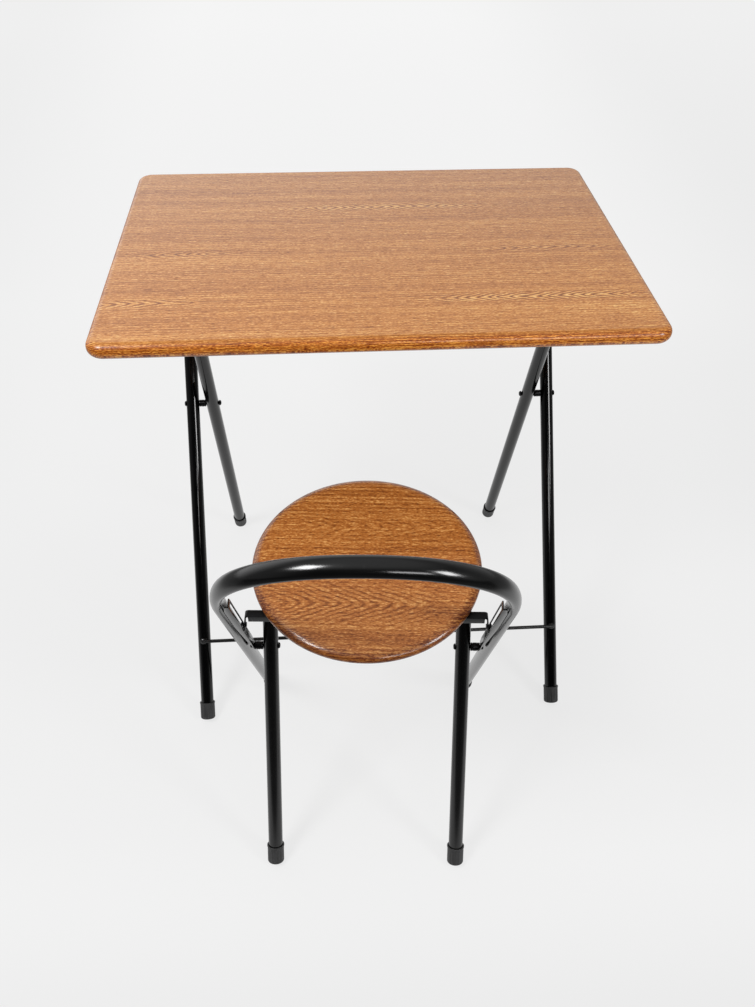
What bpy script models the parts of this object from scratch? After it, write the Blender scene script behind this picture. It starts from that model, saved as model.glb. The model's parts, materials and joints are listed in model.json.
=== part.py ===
"""Folding table with crossed tube legs and a folding chair with a round seat and a hoop back.

Lengths are metres and angles degrees. +Z is up and -Y is the side the chair stands on. The origin
lies on the floor in the middle of the set. Left is -X.
"""

import math

import bmesh
import bpy
from mathutils import Vector

# Gaps shared by the whole set
GAP = 0.0003                     # between faces that touch or are welded
HOLE_CLEARANCE = 0.0003          # radial, round every shaft
CUT_OVERRUN = 0.004              # how far a cutter runs past what it cuts

# Round tube, rubber feet and hardware, the same on table and chair
TUBE_DIAMETER = 0.022
FOOT_DIAMETER = 0.0255
FOOT_LENGTH = 0.030
FOOT_EDGE_RADIUS = 0.003
FOOT_SOLE = 0.008                # rubber under the end of the tube
FOOT_RIM_HEIGHT = 0.0025
FOOT_RIM_PROUD = 0.0006
FOOT_FLAT_DEPTH = 0.0008         # how much of the rounded foot is flat on the floor
FLOOR_CUTTER_SIZE = 0.080
BOLT_DIAMETER = 0.005
BOLT_HEAD_DIAMETER = 0.0095
BOLT_HEAD_HEIGHT = 0.0028
NUT_DIAMETER = 0.0095
NUT_HEIGHT = 0.0042
NUT_BORE_DEPTH = 0.0028
SCREW_DIAMETER = 0.004
SCREW_HEAD_DIAMETER = 0.0078
SCREW_HEAD_HEIGHT = 0.0024
SCREW_LENGTH = 0.016
SADDLE_SHEET = 0.0014            # steel of the saddles that hold a hinge bar
SADDLE_LENGTH = 0.026
SADDLE_REACH = 0.0225            # from the bar's axis to the end of a flange
SADDLE_SCREW_REACH = 0.0178

# Table
TOP_WIDTH = 0.800
TOP_DEPTH = 0.600
TOP_HEIGHT = 0.750
TOP_THICKNESS = 0.024
TOP_CORNER_RADIUS = 0.025
TOP_EDGE_RADIUS = 0.0115
OUTER_LEG_SPACING = 0.624
OUTER_FOOT_Y = -0.347            # where the leg's axis meets the floor
OUTER_BAR_Y = 0.160
INNER_FOOT_Y = 0.190
INNER_BAR_Y = -0.128
TABLE_BEND_RADIUS = 0.045
TABLE_SPACER_LENGTH = 0.0114
TABLE_SPACER_DIAMETER = 0.012
STRETCHER_DIAMETER = 0.005
STRETCHER_HEIGHT = 0.122
STRETCHER_OVERHANG = 0.004       # past the axis of each leg
SADDLE_SPACING = 0.320
CATCH_SPACING = 0.320
CATCH_WALL = 0.0030
CATCH_LENGTH = 0.024
CATCH_REACH = 0.025
CATCH_SCREW_REACH = 0.0195

# Chair, measured from the floor point under its pivot bolts
CHAIR_X = -0.034                 # from the middle of the table
CHAIR_Y = -0.478
CHAIR_TURN = -3.9
CHAIR_PIVOT_HEIGHT = 0.3385
CHAIR_LEG_ANGLE = 65.2           # of the rear legs, from the floor
CHAIR_LEG_SPACING = 0.2828
CHAIR_BEND_RADIUS = 0.036
CHAIR_SPACER_LENGTH = 0.0130
CHAIR_SPACER_DIAMETER = 0.0125
ARM_ANGLE = 120.3                # of the arms and front legs, from the floor
ARM_TUBE_WIDTH = 0.0165          # oval tube, across the plane of the hoop it is thicker
ARM_TUBE_DEPTH = 0.026
ARM_OFFSET = 0.006               # of the arm's axis from the pivot, on the front side
HOOP_START = 0.2395              # along the arm, from the pivot
HOOP_TOP = 0.420
HOOP_SQUARENESS = 2.2            # exponent of the hoop's curve; 2 is an ellipse
RAIL_SHEET = 0.0015
RAIL_STANDOFF = 0.0054           # from the slotted face to the arm's tube
RAIL_FRONT_REACH = 0.0086        # of the slotted face, in front of the pivot's line
RAIL_REAR_REACH = 0.0039         # of the rail, behind the pivot's line
RAIL_END_MARGIN = 0.012
RAIL_FOOT_RADIUS = 0.0055
RAIL_CORNER_RADIUS = 0.003
RAIL_FACE_START = 0.030          # along the arm, where the slotted face has its full width
RAIL_WEB_START = 0.020           # along the arm, where the web begins
RAIL_WEB_FULL = 0.150            # along the arm, where the web reaches the tube
RAIL_WEB_LOW_WIDTH = 0.0035
SLOT_OFFSET = 0.00335            # of the slot's middle line from the pivot
SLOT_PLAY = 0.0018               # room for the pin on each side of the middle line
PIN_DIAMETER = 0.0032
PIN_HEAD_DIAMETER = 0.0080
PIN_HEAD_HEIGHT = 0.0016
PIN_INNER_HEAD_DIAMETER = 0.0070
PIN_INNER_HEAD_HEIGHT = 0.0015
SEAT_RADIUS = 0.1605
SEAT_THICKNESS = 0.022
SEAT_EDGE_RADIUS = 0.0105
SEAT_TILT = 7.1                  # lower at the rear
SEAT_HINGE_REACH = 0.1317        # from the pivot to the seat's hinge, along the leg
SEAT_CENTRE_REACH = 0.0254       # of the seat's middle behind its hinge
SEAT_SADDLE_SPACING = 0.130
PIN_REACH = 0.114                # of the guide pins behind the hinge
PIN_RISE = 0.004                 # of the guide pins over the hinge, square to the seat
PIN_TRAVEL_END = 0.246           # along the arm, from the pivot, chair folded
STRAP_REACH = 0.10175            # of the strap's middle line behind the hinge
STRAP_SHEET = 0.0018
STRAP_WIDTH = 0.0111
STRAP_LIP = 0.0115
STRAP_BEND_RADIUS = 0.004
STRAP_SCREW_SPACING = 0.150
TAB_CLEARANCE = 0.0008           # between a tab and the slotted face
TAB_WIDTH = 0.014
TAB_BELOW_PIN = 0.012

# Place of the table in the set
TABLE_AHEAD = 0.1986

# Facets
ROUND_STEPS = 16
SMALL_STEPS = 12
BEND_STEPS = 5
HOOP_STEPS = 22
CORNER_STEPS = 6
SEAT_STEPS = 48
TUBE_RESOLUTION = 4
EDGE_RESOLUTION = 2

LEFT_AND_RIGHT = (("left", -1), ("right", 1))
FRONT_AND_REAR = (("front", -1), ("rear", 1))


# Scene, collections and materials

def clear_scene():
    for item in list(bpy.data.objects):
        bpy.data.objects.remove(item, do_unlink=True)


def new_collection(name):
    collection = bpy.data.collections.new(name)
    bpy.context.scene.collection.children.link(collection)
    return collection


def make_material(name, colour, roughness, metallic):
    material = bpy.data.materials.new(name)
    material.use_nodes = True
    shader = material.node_tree.nodes["Principled BSDF"]
    shader.inputs["Base Color"].default_value = (*colour, 1.0)
    shader.inputs["Roughness"].default_value = roughness
    shader.inputs["Metallic"].default_value = metallic
    material.diffuse_color = (*colour, 1.0)
    return material


def make_materials():
    return {
        "table_wood": make_material("table_wood", (0.50, 0.22, 0.07), 0.40, 0.0),
        "seat_wood": make_material("seat_wood", (0.42, 0.16, 0.05), 0.38, 0.0),
        "black_paint": make_material("black_paint", (0.012, 0.012, 0.014), 0.25, 0.0),
        "black_hardware": make_material("black_hardware", (0.02, 0.02, 0.022), 0.35, 0.6),
        "rubber": make_material("rubber", (0.015, 0.015, 0.015), 0.60, 0.0),
        "zinc": make_material("zinc", (0.55, 0.56, 0.58), 0.35, 1.0),
        "catch_plastic": make_material("catch_plastic", (0.03, 0.03, 0.03), 0.50, 0.0),
    }


class Builder:
    """Keeps the collections and materials, and puts each piece on the empty that carries it."""

    def __init__(self):
        self.pieces = new_collection("folding_table_and_chair")
        self.cutters = new_collection("cutters")
        self.materials = make_materials()

    def empty(self, name, parent=None, at=(0, 0, 0), lean=0.0, turn=0.0):
        item = bpy.data.objects.new(name, None)
        self.pieces.objects.link(item)
        item.parent = parent
        item.location = at
        item.rotation_euler = (math.radians(lean), 0, math.radians(turn))
        return item

    def piece(self, name, mesh, material, parent, at=(0, 0, 0), turned=(0, 0, 0)):
        item = bpy.data.objects.new(name, mesh)
        if not mesh.materials:
            mesh.materials.append(self.materials[material])
        self.pieces.objects.link(item)
        place(item, parent, at, turned)
        return item

    def cutter(self, name, mesh, parent, at=(0, 0, 0), turned=(0, 0, 0)):
        item = bpy.data.objects.new(name, mesh)
        self.cutters.objects.link(item)
        item.hide_render = True
        item.display_type = "WIRE"
        place(item, parent, at, turned)
        return item


def place(item, parent, at, turned):
    item.parent = parent
    item.location = at
    item.rotation_euler = [math.radians(angle) for angle in turned]


def combine(item, other, operation="DIFFERENCE"):
    modifier = item.modifiers.new(other.name, "BOOLEAN")
    modifier.operation = operation
    modifier.object = other


# Outlines

def arc(centre, radius, start, end, steps):
    """Points on an arc in a plane, from one angle to another in degrees."""
    points = []
    for step in range(steps + 1):
        angle = math.radians(start + (end - start) * step / steps)
        points.append((centre[0] + radius * math.cos(angle), centre[1] + radius * math.sin(angle)))
    return points


def rounded_rectangle(half_width, half_depth, radius, steps):
    points = []
    corners = ((1, 1, 0), (-1, 1, 90), (-1, -1, 180), (1, -1, 270))
    for side_x, side_y, start in corners:
        centre = (side_x * (half_width - radius), side_y * (half_depth - radius))
        points += arc(centre, radius, start, start + 90, steps)
    return points


def bent_path(corners, radius, steps):
    """An open path through corners, with an arc of the given radius at each inner corner."""
    points = [Vector(corners[0])]
    for before, corner, after in zip(corners, corners[1:], corners[2:]):
        corner = Vector(corner)
        back = (Vector(before) - corner).normalized()
        ahead = (Vector(after) - corner).normalized()
        half = back.angle(ahead) / 2
        centre = corner + (back + ahead).normalized() * (radius / math.sin(half))
        start = corner + back * (radius / math.tan(half)) - centre
        end = corner + ahead * (radius / math.tan(half)) - centre
        for step in range(steps + 1):
            points.append(centre + start.slerp(end, step / steps).normalized() * radius)
    points.append(Vector(corners[-1]))
    return points


def hoop_path(half_width, foot, start, top):
    """Up one arm, over the hoop and down the other, in the plane of the frame."""
    points = [(-half_width, foot)]
    for step in range(HOOP_STEPS + 1):
        angle = math.pi * (1 - step / HOOP_STEPS)
        across = math.copysign(abs(math.cos(angle)) ** (2 / HOOP_SQUARENESS), math.cos(angle))
        along = abs(math.sin(angle)) ** (2 / HOOP_SQUARENESS)
        points.append((half_width * across, start + (top - start) * along))
    points.append((half_width, foot))
    return points


# Meshes

def weld(mesh):
    work = bmesh.new()
    work.from_mesh(mesh)
    bmesh.ops.remove_doubles(work, verts=work.verts, dist=GAP / 30)
    bmesh.ops.recalc_face_normals(work, faces=work.faces)
    work.to_mesh(mesh)
    work.free()
    mesh.shade_smooth()
    mesh.set_sharp_from_angle(angle=math.radians(35))
    return mesh


def curve_mesh(name, outlines, cyclic, dimensions, settings):
    """The closed mesh of a curve object that is given its outlines and curve settings."""
    curve = bpy.data.curves.new(name, "CURVE")
    curve.dimensions = dimensions
    for points in outlines:
        spline = curve.splines.new("POLY")
        spline.points.add(len(points) - 1)
        for target, point in zip(spline.points, points):
            target.co = (*Vector(point).to_3d(), 1.0)
        spline.use_cyclic_u = cyclic
    for key, value in settings.items():
        setattr(curve, key, value)
    item = bpy.data.objects.new(name, curve)
    bpy.context.scene.collection.objects.link(item)
    evaluated = item.evaluated_get(bpy.context.evaluated_depsgraph_get())
    mesh = bpy.data.meshes.new_from_object(evaluated)
    bpy.data.objects.remove(item, do_unlink=True)
    bpy.data.curves.remove(curve)
    mesh.name = name
    return weld(mesh)


def tube_mesh(name, path, radius):
    settings = {"bevel_depth": radius, "bevel_resolution": TUBE_RESOLUTION, "use_fill_caps": True}
    return curve_mesh(name, [path], False, "3D", settings)


def plate_mesh(name, outlines, thickness):
    """A flat plate: the first outline is its edge and the others are holes."""
    settings = {"fill_mode": "BOTH", "extrude": thickness / 2}
    return curve_mesh(name, outlines, True, "2D", settings)


def board_mesh(name, outline, thickness, edge_radius):
    """A board with rounded edges; the outline is given inset by the edge's radius."""
    settings = {
        "fill_mode": "BOTH",
        "extrude": thickness / 2 - edge_radius,
        "bevel_depth": edge_radius,
        "bevel_resolution": EDGE_RESOLUTION,
    }
    return curve_mesh(name, [outline], True, "2D", settings)


def profile_mesh(name, profile, closed=False):
    mesh = bpy.data.meshes.new(name)
    edges = [(index, index + 1) for index in range(len(profile) - 1)]
    if closed:
        edges.append((len(profile) - 1, 0))
    mesh.from_pydata([(x, 0, z) for x, z in profile], edges, [])
    return mesh


def turn_profile(item, steps):
    screw = item.modifiers.new("turned", "SCREW")
    screw.steps = steps
    screw.render_steps = steps
    screw.use_merge_vertices = True
    screw.merge_threshold = GAP / 10
    screw.use_smooth_shade = False


def cylinder_mesh(name, radius, length):
    mesh = bpy.data.meshes.new(name)
    work = bmesh.new()
    bmesh.ops.create_cone(
        work, cap_ends=True, segments=ROUND_STEPS, radius1=radius, radius2=radius, depth=length
    )
    work.to_mesh(mesh)
    work.free()
    return mesh


def box_mesh(name, size):
    mesh = bpy.data.meshes.new(name)
    work = bmesh.new()
    bmesh.ops.create_cube(work, size=1.0)
    bmesh.ops.scale(work, vec=size, verts=work.verts)
    work.to_mesh(mesh)
    work.free()
    return mesh


def strip_mesh(name, path, length):
    """An open sheet: a path in the YZ plane drawn out along X."""
    mesh = bpy.data.meshes.new(name)
    work = bmesh.new()
    rows = []
    for side in (-1, 1):
        rows.append([work.verts.new((side * length / 2, y, z)) for y, z in path])
    for index in range(len(path) - 1):
        work.faces.new((rows[0][index], rows[1][index], rows[1][index + 1], rows[0][index + 1]))
    work.to_mesh(mesh)
    work.free()
    return mesh


def thicken(item, thickness):
    solidify = item.modifiers.new("sheet", "SOLIDIFY")
    solidify.thickness = thickness
    solidify.offset = 0.0
    solidify.use_even_offset = True


# Hardware

def add_turned(build, name, profile, material, parent, at, turned, steps=SMALL_STEPS, closed=False):
    mesh = profile_mesh(name, profile, closed)
    item = build.piece(name, mesh, material, parent, at, turned)
    turn_profile(item, steps)
    return item


def head_profile(radius, height, top):
    """A low domed head that runs down from its top to its seat."""
    crown_share = 0.55
    return [(0, top), (radius * crown_share, top), (radius, top - height * crown_share),
            (radius, top - height)]


def add_bolt(build, name, parent, at, side, grip):
    """A bolt along X: its head stands on one side and its shaft runs through the grip to the nut."""
    radius = BOLT_DIAMETER / 2
    end = -grip - GAP - NUT_BORE_DEPTH + HOLE_CLEARANCE
    profile = head_profile(BOLT_HEAD_DIAMETER / 2, BOLT_HEAD_HEIGHT, BOLT_HEAD_HEIGHT)
    profile += [(radius, 0), (radius, end), (0, end)]
    return add_turned(build, name, profile, "black_hardware", parent, at, (0, 90 * side, 0))


def add_nut(build, name, parent, at, side):
    """A domed nut with a blind bore; its dome points along X to the given side."""
    bore = BOLT_DIAMETER / 2 + HOLE_CLEARANCE
    profile = head_profile(NUT_DIAMETER / 2, NUT_HEIGHT, NUT_HEIGHT)
    profile += [(bore, 0), (bore, NUT_BORE_DEPTH), (0, NUT_BORE_DEPTH)]
    return add_turned(build, name, profile, "black_hardware", parent, at, (0, 90 * side, 0))


def add_spacer(build, name, parent, at, length, diameter):
    outer = diameter / 2
    inner = BOLT_DIAMETER / 2 + HOLE_CLEARANCE
    profile = [(outer, length / 2), (outer, -length / 2), (inner, -length / 2), (inner, length / 2)]
    return add_turned(build, name, profile, "black_hardware", parent, at, (0, 90, 0), closed=True)


def add_screw(build, name, parent, at, turned=(0, 0, 0)):
    """A wood screw that points up, with its seat at the given place."""
    radius = SCREW_DIAMETER / 2
    head = SCREW_HEAD_DIAMETER / 2
    crown_share = 0.6
    profile = [
        (0, SCREW_LENGTH),
        (radius, SCREW_LENGTH - SCREW_DIAMETER),
        (radius, 0),
        (head, 0),
        (head, -SCREW_HEAD_HEIGHT * (1 - crown_share)),
        (head * crown_share, -SCREW_HEAD_HEIGHT),
        (0, -SCREW_HEAD_HEIGHT),
    ]
    return add_turned(build, name, profile, "zinc", parent, at, turned)


def screw_hole(build, name, parent, at, low, high):
    """A cutter for a screw's hole, from one height to another above the screw's place."""
    radius = SCREW_DIAMETER / 2 + HOLE_CLEARANCE
    middle = Vector(at) + Vector((0, 0, (low + high) / 2))
    return build.cutter(name, cylinder_mesh(name, radius, high - low), parent, middle)


def bolt_hole(build, name, parent, at, length):
    """A cutter for a bolt's hole along X, centred on the given place."""
    mesh = cylinder_mesh(name, BOLT_DIAMETER / 2 + HOLE_CLEARANCE, length)
    return build.cutter(name, mesh, parent, at, (0, 90, 0))


# Rubber feet

def foot_drop(lean, radius, ovalness):
    """Height of the middle of the foot's rounded end above the floor, for a leg leaning so far."""
    tilt = math.radians(lean)
    rise = math.hypot(
        FOOT_EDGE_RADIUS * math.cos(tilt), FOOT_EDGE_RADIUS * ovalness * math.sin(tilt)
    )
    return rise + (radius - FOOT_EDGE_RADIUS) * ovalness * math.sin(tilt) - FOOT_FLAT_DEPTH


def foot_profile(radius, bore):
    """A cup for the tube's end: up inside the wall, over the rim and down the outside."""
    top = FOOT_LENGTH - FOOT_EDGE_RADIUS
    sole = FOOT_SOLE - FOOT_EDGE_RADIUS
    rim = radius + FOOT_RIM_PROUD
    profile = [
        (0, sole),
        (bore, sole),
        (bore, top),
        (rim, top),
        (rim, top - FOOT_RIM_HEIGHT),
        (radius, top - FOOT_RIM_HEIGHT),
    ]
    return profile + arc((radius - FOOT_EDGE_RADIUS, 0), FOOT_EDGE_RADIUS, 0, -90, 3) + [
        (0, -FOOT_EDGE_RADIUS)
    ]


def add_foot(build, name, line, across, reach, radius, bore, ovalness, floor):
    """A foot on the end of a leg that lies along the line's Y axis, cut flat by the floor."""
    at = (across, -reach, 0)
    item = add_turned(
        build, name, foot_profile(radius, bore), "rubber", line, at, (-90, 0, 0), ROUND_STEPS
    )
    item.scale = (1, ovalness, 1)
    combine(item, floor)
    return item


def floor_cutter(build, name, parent, at_y, width):
    """A slab whose upper face is the floor under two feet."""
    mesh = box_mesh(name, (width + FLOOR_CUTTER_SIZE, FLOOR_CUTTER_SIZE, FLOOR_CUTTER_SIZE))
    return build.cutter(name, mesh, parent, (0, at_y, -FLOOR_CUTTER_SIZE / 2))


# Hinge saddles

def saddle_drop():
    """From the underside of a board down to the axis of the bar that its saddles hold."""
    return TUBE_DIAMETER / 2 + GAP + SADDLE_SHEET + GAP


def add_saddle(build, name, parent, across, board, turned=(0, 0, 0)):
    """A bent sheet round a hinge bar at the parent's origin, screwed up into the board."""
    middle = TUBE_DIAMETER / 2 + HOLE_CLEARANCE + SADDLE_SHEET / 2
    flange = saddle_drop() - GAP - SADDLE_SHEET / 2
    path = [(-SADDLE_REACH, flange), (-middle, flange)]
    path += arc((0, 0), middle, 180, 360, SMALL_STEPS)
    path += [(middle, flange), (SADDLE_REACH, flange)]
    mesh = strip_mesh(name, path, SADDLE_LENGTH)
    saddle = build.piece(name, mesh, "black_paint", parent, (across, 0, 0), turned)
    thicken(saddle, SADDLE_SHEET)
    seat = flange - SADDLE_SHEET / 2 - GAP
    for end, sign in FRONT_AND_REAR:
        screw_name = f"{name}_screw_{end}"
        at = (across, sign * SADDLE_SCREW_REACH, seat)
        hole = screw_hole(build, f"{screw_name}_hole", parent, at, 0, SCREW_LENGTH + GAP)
        combine(saddle, hole)
        combine(board, hole)
        add_screw(build, screw_name, parent, at)
    return saddle


# Table

def crossing(first_foot, first_bar, second_foot, second_bar, height):
    """Where two legs cross, seen from the side, as Y and Z."""
    share = (second_foot - first_foot) / ((first_bar - first_foot) - (second_bar - second_foot))
    return first_foot + (first_bar - first_foot) * share, height * share


def leg_frame_mesh(name, half_spacing, foot, bar, bend_radius):
    """A tube bent to a U: up one leg, across its top bar and down the other leg."""
    corners = ((-half_spacing, foot), (-half_spacing, bar), (half_spacing, bar), (half_spacing, foot))
    return tube_mesh(name, bent_path(corners, bend_radius, BEND_STEPS), TUBE_DIAMETER / 2)


def add_leg_frame(build, name, line, half_spacing, foot_reach, bar_reach, bend_radius):
    """The frame with its bolt holes, in the plane of a line through the pivot."""
    tube_end = foot_reach - (FOOT_SOLE - FOOT_EDGE_RADIUS) - GAP
    mesh = leg_frame_mesh(name, half_spacing, -tube_end, bar_reach, bend_radius)
    frame = build.piece(name, mesh, "black_paint", line)
    length = 2 * half_spacing + TUBE_DIAMETER + 2 * CUT_OVERRUN
    combine(frame, bolt_hole(build, f"{name}_bolt_hole", line, (0, 0, 0), length))


def add_round_feet(build, name, line, half_spacing, foot_reach, floor):
    bore = TUBE_DIAMETER / 2 + HOLE_CLEARANCE
    for side_name, side in LEFT_AND_RIGHT:
        add_foot(build, f"{name}_{side_name}", line, side * half_spacing, foot_reach,
                 FOOT_DIAMETER / 2, bore, 1.0, floor)


def catch_outline():
    """A hook round the rear of the outer frame's top bar, open to the front and below."""
    inner = TUBE_DIAMETER / 2 + HOLE_CLEARANCE
    outer = inner + CATCH_WALL
    flange_top = saddle_drop() - GAP
    flange_low = flange_top - CATCH_WALL
    front = 150
    rear = -30
    meets = math.degrees(math.asin(flange_low / outer))
    points = [(-CATCH_REACH, flange_top), (-CATCH_REACH, flange_low)]
    points += arc((0, 0), outer, 180 - meets, front, 2)
    points += arc((0, 0), inner, front, rear, SMALL_STEPS)
    points += arc((0, 0), outer, rear, meets, 4)
    points += [(CATCH_REACH, flange_low), (CATCH_REACH, flange_top)]
    return points


def add_catch(build, name, parent, across, bar_from_hinge, board):
    """A hook catch under the tabletop, on the top bar of the outer frame."""
    mesh = plate_mesh(name, [catch_outline()], CATCH_LENGTH)
    catch = build.piece(name, mesh, "catch_plastic", parent, (across, bar_from_hinge, 0), (90, 0, 90))
    seat = saddle_drop() - GAP - CATCH_WALL - GAP
    for end, sign in FRONT_AND_REAR:
        screw_name = f"{name}_screw_{end}"
        at = (across, bar_from_hinge + sign * CATCH_SCREW_REACH, seat)
        hole = screw_hole(build, f"{screw_name}_hole", parent, at, 0, SCREW_LENGTH + GAP)
        combine(catch, hole)
        combine(board, hole)
        add_screw(build, screw_name, parent, at)


def add_table(build, table):
    bar_height = TOP_HEIGHT - TOP_THICKNESS - saddle_drop()
    foot_to_bar = bar_height
    pivot_y, pivot_z = crossing(OUTER_FOOT_Y, OUTER_BAR_Y, INNER_FOOT_Y, INNER_BAR_Y, foot_to_bar)
    pivot = Vector((0, pivot_y, pivot_z))
    outer_angle = math.degrees(math.atan2(bar_height, OUTER_BAR_Y - OUTER_FOOT_Y))
    inner_angle = math.degrees(math.atan2(bar_height, INNER_BAR_Y - INNER_FOOT_Y))
    outer_half = OUTER_LEG_SPACING / 2
    inner_half = outer_half - TUBE_DIAMETER - TABLE_SPACER_LENGTH - 2 * GAP

    outer_line = build.empty("table_outer_line", table, pivot, lean=outer_angle)
    fold_axis = build.empty("table_fold_axis", table, pivot)
    inner_line = build.empty("table_inner_line", fold_axis, lean=inner_angle)
    top_axis = build.empty("table_top_axis", fold_axis, Vector((0, INNER_BAR_Y, bar_height)) - pivot)

    frames = (
        ("outer", outer_line, outer_half, outer_angle, OUTER_BAR_Y, OUTER_FOOT_Y, "front"),
        ("inner", inner_line, inner_half, inner_angle, INNER_BAR_Y, INNER_FOOT_Y, "rear"),
    )
    for kind, line, half, angle, bar_y, foot_y, end in frames:
        drop = foot_drop(abs(90 - angle), FOOT_DIAMETER / 2, 1.0)
        foot_reach = (pivot_z - drop) / math.sin(math.radians(angle))
        bar_reach = math.hypot(bar_y - pivot_y, bar_height - pivot_z)
        add_leg_frame(build, f"table_{kind}_frame", line, half, foot_reach, bar_reach,
                      TABLE_BEND_RADIUS)
        floor = floor_cutter(build, f"table_{end}_floor", table, foot_y, 2 * half)
        add_round_feet(build, f"table_{end}_foot", line, half, foot_reach, floor)

    add_stretcher(build, outer_line, outer_half, pivot_z, outer_angle)
    add_table_pivots(build, outer_line, outer_half, inner_half)
    add_tabletop(build, top_axis)


def add_stretcher(build, line, half_spacing, pivot_z, angle):
    """A thin rod across the front of the outer legs."""
    length = 2 * (half_spacing + STRETCHER_OVERHANG)
    along = -(pivot_z - STRETCHER_HEIGHT) / math.sin(math.radians(angle))
    proud = TUBE_DIAMETER / 2 + STRETCHER_DIAMETER / 2 + GAP
    path = [(-length / 2, 0), (length / 2, 0)]
    mesh = tube_mesh("table_stretcher_rod", path, STRETCHER_DIAMETER / 2)
    build.piece("table_stretcher_rod", mesh, "black_paint", line, (0, along, proud))


def add_table_pivots(build, line, outer_half, inner_half):
    outer_face = outer_half + TUBE_DIAMETER / 2
    inner_face = inner_half - TUBE_DIAMETER / 2
    grip = outer_face - inner_face + GAP
    between = (outer_half + inner_half) / 2
    for name, side in LEFT_AND_RIGHT:
        add_bolt(build, f"table_pivot_bolt_{name}", line, (side * (outer_face + GAP), 0, 0), side, grip)
        add_nut(build, f"table_pivot_nut_{name}", line, (side * (inner_face - GAP), 0, 0), -side)
        add_spacer(build, f"table_pivot_spacer_{name}", line, (side * between, 0, 0),
                   TABLE_SPACER_LENGTH, TABLE_SPACER_DIAMETER)


def add_tabletop(build, top_axis):
    """The board, the saddles on the inner frame's bar and the catches on the outer frame's bar."""
    inset = TOP_EDGE_RADIUS
    outline = rounded_rectangle(TOP_WIDTH / 2 - inset, TOP_DEPTH / 2 - inset,
                                TOP_CORNER_RADIUS - inset, CORNER_STEPS)
    mesh = board_mesh("table_top", outline, TOP_THICKNESS, inset)
    middle = (0, -INNER_BAR_Y, saddle_drop() + TOP_THICKNESS / 2)
    board = build.piece("table_top", mesh, "table_wood", top_axis, middle)
    for name, side in LEFT_AND_RIGHT:
        add_saddle(build, f"table_saddle_{name}", top_axis, side * SADDLE_SPACING / 2, board)
        add_catch(build, f"table_catch_{name}", top_axis, side * CATCH_SPACING / 2,
                  OUTER_BAR_Y - INNER_BAR_Y, board)


# Chair

def rail_face():
    """Distance of the slotted face from the middle of the chair, on the side of the legs."""
    return CHAIR_LEG_SPACING / 2 + TUBE_DIAMETER / 2 + GAP + CHAIR_SPACER_LENGTH + GAP


def arm_half_spacing():
    return rail_face() + RAIL_SHEET + RAIL_STANDOFF + ARM_TUBE_WIDTH / 2


def pin_place():
    """Distance of the guide pins from the pivot along the arm, with the chair open."""
    spread = math.radians(ARM_ANGLE - CHAIR_LEG_ANGLE)
    seat = math.radians(ARM_ANGLE - SEAT_TILT)
    hinge_along = SEAT_HINGE_REACH * math.cos(spread)
    return hinge_along - PIN_REACH * math.cos(seat) + PIN_RISE * math.sin(seat)


def add_chair(build, chair):
    pivot = Vector((0, 0, CHAIR_PIVOT_HEIGHT))
    arm_line = build.empty("chair_arm_line", chair, pivot, lean=ARM_ANGLE)
    fold_axis = build.empty("chair_fold_axis", chair, pivot)
    leg_line = build.empty("chair_leg_line", fold_axis, lean=CHAIR_LEG_ANGLE)
    lean = math.radians(CHAIR_LEG_ANGLE)
    hinge = Vector((0, math.cos(lean), math.sin(lean))) * SEAT_HINGE_REACH
    seat_axis = build.empty("chair_seat_axis", fold_axis, hinge, lean=SEAT_TILT)
    add_back_frame(build, chair, arm_line)
    add_rear_legs(build, chair, leg_line)
    for name, side in LEFT_AND_RIGHT:
        add_guide_rail(build, name, side, arm_line)
    add_chair_pivots(build, chair, pivot)
    add_seat(build, seat_axis)


def add_back_frame(build, chair, line):
    """The oval tube: front legs, arms and hoop in one plane, a little in front of the pivot."""
    half = arm_half_spacing()
    ovalness = ARM_TUBE_DEPTH / ARM_TUBE_WIDTH
    radius = ARM_TUBE_WIDTH / 2 + (FOOT_DIAMETER - TUBE_DIAMETER) / 2
    angle = math.radians(ARM_ANGLE)
    drop = foot_drop(ARM_ANGLE - 90, radius, ovalness)
    shift = ARM_OFFSET * math.cos(angle)
    foot_reach = (CHAIR_PIVOT_HEIGHT - shift - drop) / math.sin(angle)
    tube_end = foot_reach - (FOOT_SOLE - FOOT_EDGE_RADIUS) - GAP
    path = hoop_path(half, -tube_end, HOOP_START, HOOP_TOP)
    mesh = tube_mesh("chair_back_frame", path, ARM_TUBE_WIDTH / 2)
    frame = build.piece("chair_back_frame", mesh, "black_paint", line, (0, 0, -ARM_OFFSET))
    frame.scale = (1, 1, ovalness)
    axis_line = build.empty("chair_arm_axis", line, (0, 0, -ARM_OFFSET))
    foot_y = -foot_reach * math.cos(angle)
    floor = floor_cutter(build, "chair_front_floor", chair, foot_y, 2 * half)
    bore = ARM_TUBE_WIDTH / 2 + HOLE_CLEARANCE
    for name, side in LEFT_AND_RIGHT:
        add_foot(build, f"chair_front_foot_{name}", axis_line, side * half, foot_reach, radius, bore,
                 ovalness, floor)


def add_rear_legs(build, chair, line):
    half = CHAIR_LEG_SPACING / 2
    drop = foot_drop(90 - CHAIR_LEG_ANGLE, FOOT_DIAMETER / 2, 1.0)
    foot_reach = (CHAIR_PIVOT_HEIGHT - drop) / math.sin(math.radians(CHAIR_LEG_ANGLE))
    add_leg_frame(build, "chair_leg_frame", line, half, foot_reach, SEAT_HINGE_REACH,
                  CHAIR_BEND_RADIUS)
    foot_y = -foot_reach * math.cos(math.radians(CHAIR_LEG_ANGLE))
    floor = floor_cutter(build, "chair_rear_floor", chair, foot_y, 2 * half)
    add_round_feet(build, "chair_rear_foot", line, half, foot_reach, floor)


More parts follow.
